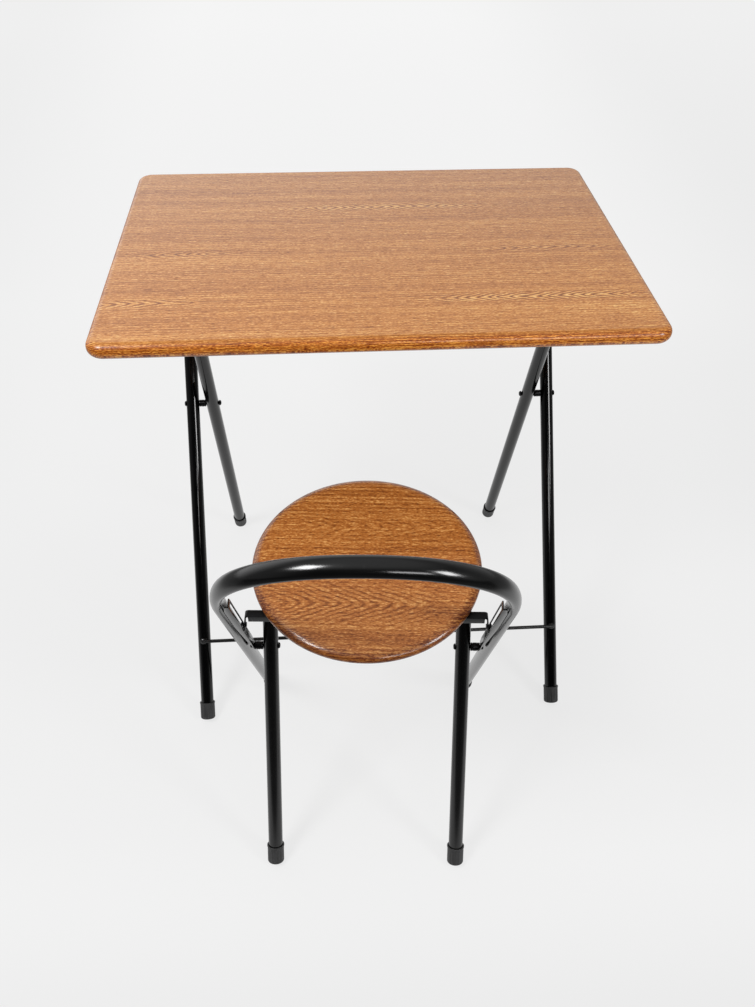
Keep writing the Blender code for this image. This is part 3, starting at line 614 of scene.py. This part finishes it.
def ring_mesh(name, rings, sharp=SHARP_ANGLE, bored=False):
    """Quads between rings of points, each ring closed on itself. The first and last ring are
    capped, or joined with each other where the shape is bored through."""
    work = bmesh.new()
    loops = [[work.verts.new(point) for point in ring] for ring in rings]
    if bored:
        loops.append(loops[0])
    count = len(loops[0])
    for lower, upper in zip(loops, loops[1:]):
        for index in range(count):
            after = (index + 1) % count
            work.faces.new((lower[index], lower[after], upper[after], upper[index]))
    if not bored:
        work.faces.new(loops[0])
        work.faces.new(loops[-1])
    return finished(work, name, sharp)


def full_turn(steps):
    """The angles of a full turn in equal steps, in radians."""
    return [2 * math.pi * step / steps for step in range(steps)]


def arc(centre, radius, start, end, steps):
    """Points of an arc, from its start angle to its end angle."""
    points = []
    for step in range(steps + 1):
        angle = math.radians(start + (end - start) * step / steps)
        points.append((centre[0] + radius * math.cos(angle), centre[1] + radius * math.sin(angle)))
    return points


def turned(name, profile, steps=TURN_STEPS, squash=1.0, ribs=None, sharp=SHARP_ANGLE, bored=False):
    """A profile of (radius, height) turned about Z; ribs may wave its radius."""
    rings = []
    for radius, height in profile:
        ring = []
        for angle in full_turn(steps):
            reach = radius + (ribs(angle, radius, height) if ribs else 0.0)
            ring.append((reach * math.cos(angle), reach * math.sin(angle) * squash, height))
        rings.append(ring)
    return ring_mesh(name, rings, sharp, bored)


def softened(name, node, width):
    """A copy of a CAD node's solid with rounded edges."""
    flat = math.radians(1.0)
    steep = math.radians(38.0)
    work = bmesh.new()
    work.from_mesh(frame["nodes"][node].data)
    bmesh.ops.remove_doubles(work, verts=work.verts, dist=SMALL_GAP / 20)
    bmesh.ops.dissolve_limit(
        work, angle_limit=flat, verts=work.verts, edges=work.edges, delimit={"NORMAL"}
    )
    edges = [edge for edge in work.edges if edge.is_manifold and edge.calc_face_angle() > steep]
    bmesh.ops.bevel(
        work, geom=edges, offset=width, offset_type="OFFSET", segments=SOFT_EDGE_STEPS, profile=0.5,
        affect="EDGES", clamp_overlap=True,
    )
    bmesh.ops.triangulate(work, faces=work.faces)
    return finished(work, name, PRESSED_SHARP_ANGLE)


# Boards

def outline_ring(outline, reach, height):
    """The outline at one height, moved outward by a reach."""
    return [(point.x + out.x * reach, point.y + out.y * reach, height) for point, out in outline]


def board(name, outline, thickness, radius, spread):
    """A board with a rounded edge, as high as its radius and as deep as its spread. The outline
    gives, for each point, its place on the flat face and the direction outward."""
    level = thickness / 2 - radius
    rings = []
    for side, start in ((1, 90), (-1, 0)):
        for step in range(EDGE_STEPS + 1):
            angle = math.radians(start - 90 * step / EDGE_STEPS)
            height = side * level + radius * math.sin(angle)
            rings.append(outline_ring(outline, spread * math.cos(angle), height))
    return ring_mesh(name, rings, BOARD_SHARP_ANGLE)


def corner_outline(half_width, half_depth, corner, inset):
    """A rectangle with round corners, inset, as points with their outward directions."""
    outline = []
    for side_x, side_y, start in ((1, 1, 0), (-1, 1, 90), (-1, -1, 180), (1, -1, 270)):
        centre = Vector((side_x * (half_width - corner), side_y * (half_depth - corner)))
        for step in range(CORNER_STEPS + 1):
            angle = math.radians(start + 90 * step / CORNER_STEPS)
            out = Vector((math.cos(angle), math.sin(angle)))
            outline.append((centre + out * (corner - inset), out))
    return outline


def round_outline(radius, inset):
    """A circle, inset, as points with their outward directions."""
    outward = [Vector((math.cos(angle), math.sin(angle))) for angle in full_turn(SEAT_STEPS)]
    return [(out * (radius - inset), out) for out in outward]


def add_tabletop():
    low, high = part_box("table_top")
    size = high - low
    place = Matrix.Translation((low + high) / 2)
    outline = corner_outline(size.x / 2, size.y / 2, TOP_CORNER_RADIUS, TOP_EDGE_RADIUS)
    film = film_finish("table_film", size.z / 2, **TABLE_FILM)
    mesh = board("tabletop_board", outline, size.z, TOP_EDGE_RADIUS, TOP_EDGE_RADIUS)
    add_piece("tabletop_board", mesh, film, place, "tabletop", "table_wood", "table_top", own_frame=True)
    add_backing("table_underside", outline, size.z, place, "tabletop", "table_wood")


def add_seat():
    low, high = extent("chair_seat", SEAT_LINE)
    size = high - low
    place = SEAT_LINE @ Matrix.Translation((low + high) / 2)
    outline = round_outline(size.y / 2, SEAT_EDGE_SPREAD)
    film = film_finish("seat_film", size.z / 2, **SEAT_FILM)
    mesh = board("seat_board", outline, size.z, SEAT_EDGE_RADIUS, SEAT_EDGE_SPREAD)
    add_piece("seat_board", mesh, film, place, "seat", "seat_wood", "chair_seat", own_frame=True)
    add_backing("seat_underside", outline, size.z, place, "seat", "seat_wood")


def add_backing(name, outline, thickness, place, body, slot):
    """Paper on the flat underside, inside the film that is wrapped over the edge."""
    middle, half = -thickness / 2, BACKING_THICKNESS / 2
    rings = [outline_ring(outline, -BACKING_INSET, height) for height in (middle - half, middle + half)]
    add_piece(name, ring_mesh(name, rings), FINISHES["backing"], place, body, slot)


# Tubes

def straight_parts(path):
    """The points of a path, with long straight stretches cut into shorter ones."""
    points = [Vector(path[0])]
    for point in path[1:]:
        point = Vector(point)
        start = points[-1]
        parts = max(1, math.ceil((point - start).length / LONGEST_TUBE_PART))
        points += [start.lerp(point, part / parts) for part in range(1, parts + 1)]
    return points


def tube(name, path, in_plane, out_of_plane):
    """A tube along a path in the XY plane, oval if its two radii differ, with rounded tips."""
    points = straight_parts(path)
    last = len(points) - 1
    rings = []
    for index, point in enumerate(points):
        along = (points[min(index + 1, last)] - points[max(index - 1, 0)]).normalized()
        side = Vector((-along.y, along.x))
        shifts = ((0.0, 0.0),)
        if index == 0:
            shifts = ((0.0, TUBE_TIP_ROUND), (TUBE_TIP_ROUND, 0.0))
        if index == last:
            shifts = ((-TUBE_TIP_ROUND, 0.0), (0.0, TUBE_TIP_ROUND))
        for shift, inset in shifts:
            centre = point + along * shift
            ring = []
            for angle in full_turn(TUBE_SIDES):
                flat = centre + side * ((in_plane - inset) * math.cos(angle))
                ring.append((flat.x, flat.y, (out_of_plane - inset) * math.sin(angle)))
            rings.append(ring)
    return ring_mesh(name, rings)


def leg_path(half_spacing, foot, bar, radius):
    """Up one leg, round to the top bar and down the other leg, with bends of a given radius."""
    sides = bar - radius
    path = [(-half_spacing, foot)]
    path += arc((radius - half_spacing, sides), radius, 180, 90, BEND_STEPS)
    path += arc((half_spacing - radius, sides), radius, 90, 0, BEND_STEPS)
    path += [(half_spacing, foot)]
    return path


def hoop_path(half_width, foot, start, top):
    """Up one arm, round the hoop and down the other arm. The hoop is squarer than an ellipse."""
    power = 2 / HOOP_SQUARENESS
    path = [(-half_width, foot)]
    for step in range(HOOP_STEPS + 1):
        angle = math.pi * (1 - step / HOOP_STEPS)
        across = math.copysign(abs(math.cos(angle)) ** power, math.cos(angle))
        along = abs(math.sin(angle)) ** power
        path.append((half_width * across, start + (top - start) * along))
    path.append((half_width, foot))
    return path


def add_leg_tube(name, node, line, bend_radius, body, finish):
    radius = TUBE_DIAMETER / 2
    low, high = extent(node, line)
    path = leg_path(high.x - radius, low.y, high.y - radius, bend_radius)
    mesh = tube(name, path, radius, radius)
    add_piece(name, mesh, FINISHES[finish], line, body, "black_paint", node)


def add_leg_tubes():
    """The three frames of round tube: the table's outer and inner legs and the chair's near legs."""
    add_leg_tube("table_outer_tube", "table_outer_frame", OUTER_LINE, TABLE_BEND_RADIUS,
                 "outer_frame", "leg_paint")
    add_leg_tube("table_inner_tube", "table_inner_frame", INNER_LINE, TABLE_BEND_RADIUS,
                 "inner_frame", "leg_paint")
    add_leg_tube("chair_leg_tube", "chair_leg_frame", LEG_LINE, CHAIR_BEND_RADIUS,
                 "chair_legs", "frame_paint")


def add_hoop():
    """The oval tube of front legs, arms and hoop, in one plane."""
    name, node = "chair_hoop_tube", "chair_back_frame"
    low, high = extent(node, ARM_LINE)
    in_plane = ARM_TUBE_WIDTH / 2
    path = hoop_path(high.x - in_plane, low.y, HOOP_START, high.y - in_plane - SMALL_GAP)
    mesh = tube(name, path, in_plane, ARM_TUBE_DEPTH / 2)
    place = ARM_LINE @ Matrix.Translation((0, 0, (low.z + high.z) / 2))
    add_piece(name, mesh, FINISHES["frame_paint"], place, "chair_back", "black_paint", node)


def add_stretcher():
    """The thin rod, with a weld at each end where it lies on the legs."""
    name, node = "stretcher_rod", "table_stretcher_rod"
    low, high = extent(node, OUTER_LINE)
    radius = STRETCHER_DIAMETER / 2
    middle = (low + high) / 2
    mesh = tube(name, [(low.x, 0), (high.x, 0)], radius, radius)
    place = OUTER_LINE @ Matrix.Translation((0, middle.y, middle.z))
    add_piece(name, mesh, FINISHES["frame_paint"], place, "outer_frame", "black_paint", node)
    leg = extent("table_outer_frame", OUTER_LINE)[1].x - TUBE_DIAMETER / 2
    sink = radius * 0.55
    for end, side in LEFT_AND_RIGHT:
        add_weld(f"stretcher_weld_{end}", place @ Matrix.Translation((side * leg, 0, -sink)), radius)


def add_weld(name, place, radius):
    """A small bead of weld along both sides of the rod, with ripples across it."""
    half_length = radius * 1.9
    half_width = radius * 1.75
    half_height = radius * 0.75
    ripple_depth, ripple_turn = 0.06, 40
    rings = []
    for step in range(1, WELD_STEPS):
        share = step / WELD_STEPS
        along = -math.cos(math.pi * share)
        swell = math.sqrt(1 - along * along) * (1 + ripple_depth * math.sin(share * ripple_turn))
        ring = []
        for angle in full_turn(WELD_SIDES):
            across = half_width * swell * math.cos(angle)
            ring.append((along * half_length, across, half_height * swell * math.sin(angle)))
        rings.append(ring)
    add_piece(name, ring_mesh(name, rings), FINISHES["frame_paint"], place, "outer_frame", "black_paint")


# Rubber feet

def foot_depth(line, node, top):
    """The middle of the foot's rim, across the plane of its line."""
    back = line.inverted()
    points = [back @ vertex.co for vertex in frame["nodes"][node].data.vertices]
    depths = [point.z for point in points if point.y > top - FOOT_RIM_HEIGHT / 2]
    return (min(depths) + max(depths)) / 2


def cut_by_floor(mesh, place):
    """Flattens what would reach below the floor."""
    back = place.inverted()
    for vertex in mesh.vertices:
        point = place @ vertex.co
        if point.z < FLOOR_CLEARANCE:
            point.z = FLOOR_CLEARANCE
            vertex.co = back @ point


def foot_mesh(name, radius, bore, length, squash):
    """A cup from its sole at the low end to its rim, with a bore for the tube."""
    rim = radius + FOOT_RIM_PROUD
    edge = FOOT_EDGE_RADIUS
    soft = FOOT_RIM_PROUD * 0.6
    rim_low = length - FOOT_RIM_HEIGHT
    wall_top = rim_low - 2 * soft
    profile = [(bore, FOOT_SOLE), (bore, length - soft), (bore + soft, length)]
    profile += [(rim - soft, length), (rim, length - soft), (rim, rim_low + soft)]
    profile += [(rim - soft, rim_low), (radius, rim_low - soft)]
    for step in range(FOOT_WALL_STEPS + 1):
        profile.append((radius, wall_top + (edge - wall_top) * step / FOOT_WALL_STEPS))
    profile += arc((radius - edge, edge), edge, -15, -90, FOOT_EDGE_STEPS)

    def ribs(angle, reach, height):
        """Narrow grooves down the wall, with flats between them."""
        if not edge * 0.9 < height < wall_top * 0.999 or reach <= bore + soft * 2:
            return 0.0
        return -FOOT_RIB_DEPTH * (0.5 + 0.5 * math.cos(FOOT_RIBS * angle)) ** 2

    return turned(name, profile, FOOT_RIBS * FOOT_STEPS_PER_RIB, squash, ribs, FOOT_SHARP_ANGLE)


def add_foot(node, line, body, bore_diameter, squash):
    name = f"rubber_{node}"
    low, high = extent(node, line)
    radius = (high.x - low.x) / 2 - FOOT_RIM_PROUD
    bore = bore_diameter / 2 + SMALL_GAP
    mesh = foot_mesh(name, radius, bore, high.y - low.y, squash)
    at = ((low.x + high.x) / 2, low.y, foot_depth(line, node, high.y))
    place = line @ Matrix.Translation(at) @ Matrix.Rotation(math.radians(-90), 4, "X")
    cut_by_floor(mesh, place)
    add_piece(name, mesh, FINISHES["rubber"], place, body, "rubber", node)


def add_feet():
    """Each kind is listed with its line, its body, the tube in it and how oval it is."""
    feet = (
        ("table_front_foot", OUTER_LINE, "outer_frame", TUBE_DIAMETER, 1.0),
        ("table_rear_foot", INNER_LINE, "inner_frame", TUBE_DIAMETER, 1.0),
        ("chair_rear_foot", LEG_LINE, "chair_legs", TUBE_DIAMETER, 1.0),
        ("chair_front_foot", ARM_LINE, "chair_back", ARM_TUBE_WIDTH, ARM_TUBE_DEPTH / ARM_TUBE_WIDTH),
    )
    for kind, line, body, bore_diameter, squash in feet:
        for end, _ in LEFT_AND_RIGHT:
            add_foot(f"{kind}_{end}", line, body, bore_diameter, squash)


# Pivots

def domed(radius, height, rim_share=0.35):
    """Half a low dome, from its seat to its crown."""
    rim = height * rim_share
    points = [(radius * 0.96, 0.0), (radius, rim * 0.3), (radius, rim)]
    for step in range(1, DOME_STEPS):
        angle = math.radians(90 * step / DOME_STEPS)
        points.append((radius * math.cos(angle), rim + (height - rim) * math.sin(angle)))
    points.append((radius * 0.04, height))
    return points


def add_hardware(name, mesh, line, along, side, body, node):
    """A turned piece of the pivot, whose Z axis points to one side along the line's X axis."""
    turn = Matrix.Rotation(math.radians(90 * side), 4, "Y")
    place = line @ Matrix.Translation((along, 0, 0)) @ turn
    add_piece(name, mesh, FINISHES["hardware"], place, body, "black_hardware", node)


def add_bolt(node, line, body, side):
    """A domed bolt with a washer under its head."""
    name = f"{node}_turned"
    low, high = extent(node, line)
    head = (high.z - low.z) / 2
    shaft = BOLT_SHAFT_RADIUS
    washer = BOLT_WASHER_HEIGHT
    seat = high.x - low.x - BOLT_HEAD_HEIGHT
    profile = [(shaft * 0.6, 0.0), (shaft, shaft * 0.4), (shaft, seat), (head * 0.99, seat)]
    profile += [(head, seat + washer * 0.2), (head, seat + washer * 0.8), (head * 0.98, seat + washer)]
    for radius, rise in domed(head, BOLT_HEAD_HEIGHT - washer):
        profile.append((radius * 0.86, seat + washer + rise))
    tip = low.x if side > 0 else high.x
    add_hardware(name, turned(name, profile), line, tip, side, body, node)


def add_nut(node, line, body, side):
    """A cap nut: six flats below a dome."""
    name = f"{node}_cap"
    low, high = extent(node, line)
    across = (high.z - low.z) / 2
    height = high.x - low.x
    flats = height * 0.55
    dome = flats * 1.03

    def hexagon(angle, radius, level):
        """How far the flats lie inside the round body that runs through their corners."""
        if level > flats * 1.02 or radius < across * 0.6:
            return 0.0
        corner = math.pi / 3
        turn = (angle + corner / 2) % corner - corner / 2
        return across * NUT_FLATNESS * (math.cos(corner / 2) / math.cos(turn) - 1)

    profile = [(BOLT_HOLE_RADIUS, 0.0), (across * 0.93, 0.0), (across * 0.98, height * 0.08)]
    profile += [(across * 0.98, flats * 0.9), (across * 0.92, flats)]
    profile += [(radius, dome + rise) for radius, rise in domed(across * 0.86, height - dome, 0.1)]
    seat = low.x if side > 0 else high.x
    add_hardware(name, turned(name, profile, NUT_STEPS, ribs=hexagon), line, seat, side, body, node)


def add_spacer(node, line, body):
    """A barrel on the pivot bolt, with rounded ends and a groove near each."""
    name = f"{node}_barrel"
    low, high = extent(node, line)
    radius = (high.z - low.z) / 2
    length = high.x - low.x
    soft = radius * 0.16
    groove = radius * 0.10
    groove_start, groove_end, groove_slope = length * 0.20, length * 0.30, length * 0.03
    outer = [(radius - soft, 0.0), (radius - soft * 0.3, soft * 0.3), (radius, soft)]
    outer += [(radius, groove_start), (radius - groove, groove_start + groove_slope)]
    outer += [(radius - groove, groove_end - groove_slope), (radius, groove_end)]
    outer += [(reach, length - height) for reach, height in reversed(outer)]
    profile = [(BOLT_HOLE_RADIUS, 0.0)] + outer + [(BOLT_HOLE_RADIUS, length)]
    add_hardware(name, turned(name, profile, bored=True), line, low.x, 1, body, node)


def add_pivots():
    """The bolt heads are outside on the table and inside on the chair."""
    groups = (
        ("table_pivot", OUTER_LINE, "outer_frame", 1),
        ("chair_pivot", LEG_LINE, "chair_back", -1),
    )
    for kind, line, body, outside in groups:
        for end, side in LEFT_AND_RIGHT:
            add_bolt(f"{kind}_bolt_{end}", line, body, side * outside)
            add_nut(f"{kind}_nut_{end}", line, body, -side * outside)
            add_spacer(f"{kind}_spacer_{end}", line, body)


# Sheet parts, pins and screws

def add_sheet_parts():
    """Each part is listed with its body, finish, slot and the width of its soft edges."""
    parts = [("chair_seat_strap", "seat", "strap_paint", "black_paint", 0.0005)]
    for end, _ in LEFT_AND_RIGHT:
        parts += [
            (f"chair_guide_rail_{end}", "chair_back", "sheet_paint", "black_paint", 0.0004),
            (f"chair_saddle_{end}", "seat", "sheet_paint", "black_paint", 0.0004),
            (f"table_saddle_{end}", "tabletop", "sheet_paint", "black_paint", 0.0004),
            (f"table_catch_{end}", "tabletop", "plastic", "catch_plastic", 0.0006),
            (f"chair_guide_pin_{end}", "seat", "hardware", "black_hardware", 0.0003),
        ]
    for node, body, finish, slot, width in parts:
        name = f"{node}_pressed"
        add_piece(name, softened(name, node, width), FINISHES[finish], MODEL_FRAME, body, slot, node)


def screw_profile():
    """From the tip over the ridges of the shaft to the crown of the pan head."""
    shaft = SCREW_SHAFT_RADIUS
    length = SCREW_LENGTH
    tip_radius = 0.0002
    profile = [(tip_radius, length), (shaft * 0.35, length - shaft), (shaft, length - 2 * shaft)]
    for ridge in range(SCREW_RIDGES):
        level = length - 2 * shaft - (length - 3 * shaft) * ridge / SCREW_RIDGES
        profile += [(shaft, level), (shaft * 0.78, level - shaft * 0.35)]
    profile += [(shaft, 0.0), (SCREW_HEAD_RADIUS * 0.96, 0.0)]
    profile += [(radius, -rise) for radius, rise in domed(SCREW_HEAD_RADIUS, SCREW_HEAD_HEIGHT, 0.3)]
    return profile


def screw_mesh():
    """A pan-head wood screw that points up, with a cross recess in its head."""
    arm_size = (SCREW_HEAD_RADIUS * 1.15, SCREW_HEAD_RADIUS * 0.26, SCREW_HEAD_HEIGHT * 1.1)
    screw = add_item("pan_head", turned("pan_head", screw_profile()))
    arms = []
    for turn in (0, 90):
        work = bmesh.new()
        bmesh.ops.create_cube(work, size=1.0)
        bmesh.ops.scale(work, vec=arm_size, verts=work.verts)
        bmesh.ops.translate(work, vec=(0, 0, -SCREW_HEAD_HEIGHT), verts=work.verts)
        bmesh.ops.rotate(work, matrix=Matrix.Rotation(math.radians(turn), 3, "Z"), verts=work.verts)
        arm = add_item("cross_arm", finished(work, "cross_arm"))
        cut = screw.modifiers.new("cross", "BOOLEAN")
        cut.object = arm
        arms.append(arm)
    evaluated = screw.evaluated_get(bpy.context.evaluated_depsgraph_get())
    mesh = bpy.data.meshes.new_from_object(evaluated)
    for item in [screw] + arms:
        bpy.data.objects.remove(item, do_unlink=True)
    mesh.shade_smooth()
    mesh.set_sharp_from_angle(angle=math.radians(SHARP_ANGLE))
    return mesh


def add_screws():
    """Screws under both boards, each turned by an angle of its own."""
    mesh = screw_mesh()
    for node in sorted(name for name in frame["nodes"] if "screw" in name):
        on_seat = node.startswith("chair")
        line = SEAT_LINE if on_seat else MODEL_FRAME
        body = "seat" if on_seat else "tabletop"
        low, high = extent(node, line)
        at = ((low.x + high.x) / 2, (low.y + high.y) / 2, low.z + SCREW_HEAD_HEIGHT)
        turn = SCREW_DEGREES_PER_METRE * (low.x + low.y)
        place = line @ Matrix.Translation(at) @ Matrix.Rotation(math.radians(turn), 4, "Z")
        add_piece(f"{node}_turned", mesh.copy(), FINISHES["zinc"], place, body, "zinc", node)


# Studio

BACKGROUND = 0.871
FLOOR_HALF = 20.0
FLOOR_ALBEDO = 0.80
FLOOR_FRONT_ALBEDO = 0.10
FLOOR_GLOW_SHARE = 0.85
FLOOR_GLOSS_SHARE = 0.85

# What the camera sees of the floor, as distances behind the set's middle with their brightness
FLOOR_GLOWS = ((-0.70, 0.895), (-0.35, 0.860), (0.00, 0.862), (0.64, 0.895), (1.41, 0.943), (4.70, 1.0))

# Soft boxes, each with its place, the point that it faces, its size and its power in watts
LAMPS = (
    ("right_box", (1.62, -1.46, 1.65), (0.05, 0.0, 0.55), (0.52, 0.64), 23.0),
    ("left_box", (-1.40, -1.05, 2.45), (-0.10, 0.0, 0.60), (0.70, 0.68), 45.0),
    ("front_strip", (0.58, -1.80, 1.42), (0.25, 0.0, 0.75), (0.80, 0.26), 6.5),
)


def floor_finish():
    """Pale paper, dark in front and far to the sides, where the tubes would mirror too much of it."""
    finish = Finish("floor_paper", Roughness=0.9, Specular_IOR_Level=0.0)
    x, y, _ = finish.axes()
    near = y.smooth(-0.90, -0.42) * (1.0 - x.apply("ABSOLUTE").smooth(0.70, 1.70) * 0.85)
    albedo = finish.ramp(near, [(0.0, grey(FLOOR_FRONT_ALBEDO)), (1.0, grey(FLOOR_ALBEDO))])
    finish.surface("Base Color", albedo)
    first, last = FLOOR_GLOWS[0][0], FLOOR_GLOWS[-1][0]
    stops = [((at - first) / (last - first), grey(level)) for at, level in FLOOR_GLOWS]
    camera, gloss = finish.rays("Is Camera Ray", "Is Glossy Ray")
    share = camera * FLOOR_GLOW_SHARE + gloss * near * FLOOR_GLOSS_SHARE
    finish.glow(share, finish.ramp((y - first) / (last - first), stops))
    return finish.material


def add_floor():
    """A pale floor that keeps soft shadows."""
    work = bmesh.new()
    bmesh.ops.create_grid(work, x_segments=1, y_segments=1, size=FLOOR_HALF)
    floor = add_item("studio_floor", finished(work, "studio_floor"))
    floor.location = (0, 0, -SMALL_GAP)
    floor.data.materials.append(floor_finish())


def add_world():
    """A pale studio: brightest low behind the table, dark behind the camera."""
    world = bpy.data.worlds.new("studio")
    world.use_nodes = True
    bpy.context.scene.world = world
    nodes = Nodes(world.node_tree)
    x, y, z = nodes.axes("Generated")
    overhead = z.smooth(0.60, 0.95)
    rear = y.smooth(0.0, 0.75) * (1.0 - z.smooth(0.50, 0.85)) * (1.0 - x * 0.7)
    sides = x.apply("ABSOLUTE").smooth(0.5, 1.0)
    light = overhead * 0.60 + rear * 1.05 + sides * 0.20 + 0.03
    camera = nodes.rays("Is Camera Ray")
    background = world.node_tree.nodes["Background"]
    nodes.link(background.inputs["Color"], (1.0, 1.0, 1.0, 1.0))
    nodes.link(background.inputs["Strength"], light * (1.0 - camera) + camera * BACKGROUND)


def add_lamps():
    """Soft boxes that show in gloss and not to the camera."""
    for name, at, target, size, power in LAMPS:
        light = bpy.data.lights.new(name, "AREA")
        light.shape = "RECTANGLE"
        light.size, light.size_y = size
        light.energy = power
        item = add_item(name, light)
        item.location = at
        item.rotation_euler = (Vector(target) - Vector(at)).to_track_quat("-Z", "Y").to_euler()
        item.visible_camera = False


def add_camera():
    data = bpy.data.cameras.new("photo_camera")
    data.sensor_width = SENSOR
    data.lens = FOCAL_PIXELS * SENSOR / IMAGE_LONG_SIDE
    camera = add_item("photo_camera", data)
    camera.matrix_world = (
        Matrix.Translation(CAMERA_AT)
        @ Matrix.Rotation(math.radians(CAMERA_YAW), 4, "Z")
        @ Matrix.Rotation(math.radians(90 - CAMERA_PITCH), 4, "X")
        @ Matrix.Rotation(math.radians(CAMERA_ROLL), 4, "Z")
    )
    bpy.context.scene.camera = camera


add_camera()
add_floor()
add_world()
add_lamps()
add_tabletop()
add_seat()
add_leg_tubes()
add_hoop()
add_stretcher()
add_feet()
add_pivots()
add_sheet_parts()
add_screws()

bpy.context.scene.view_settings.view_transform = "Standard"
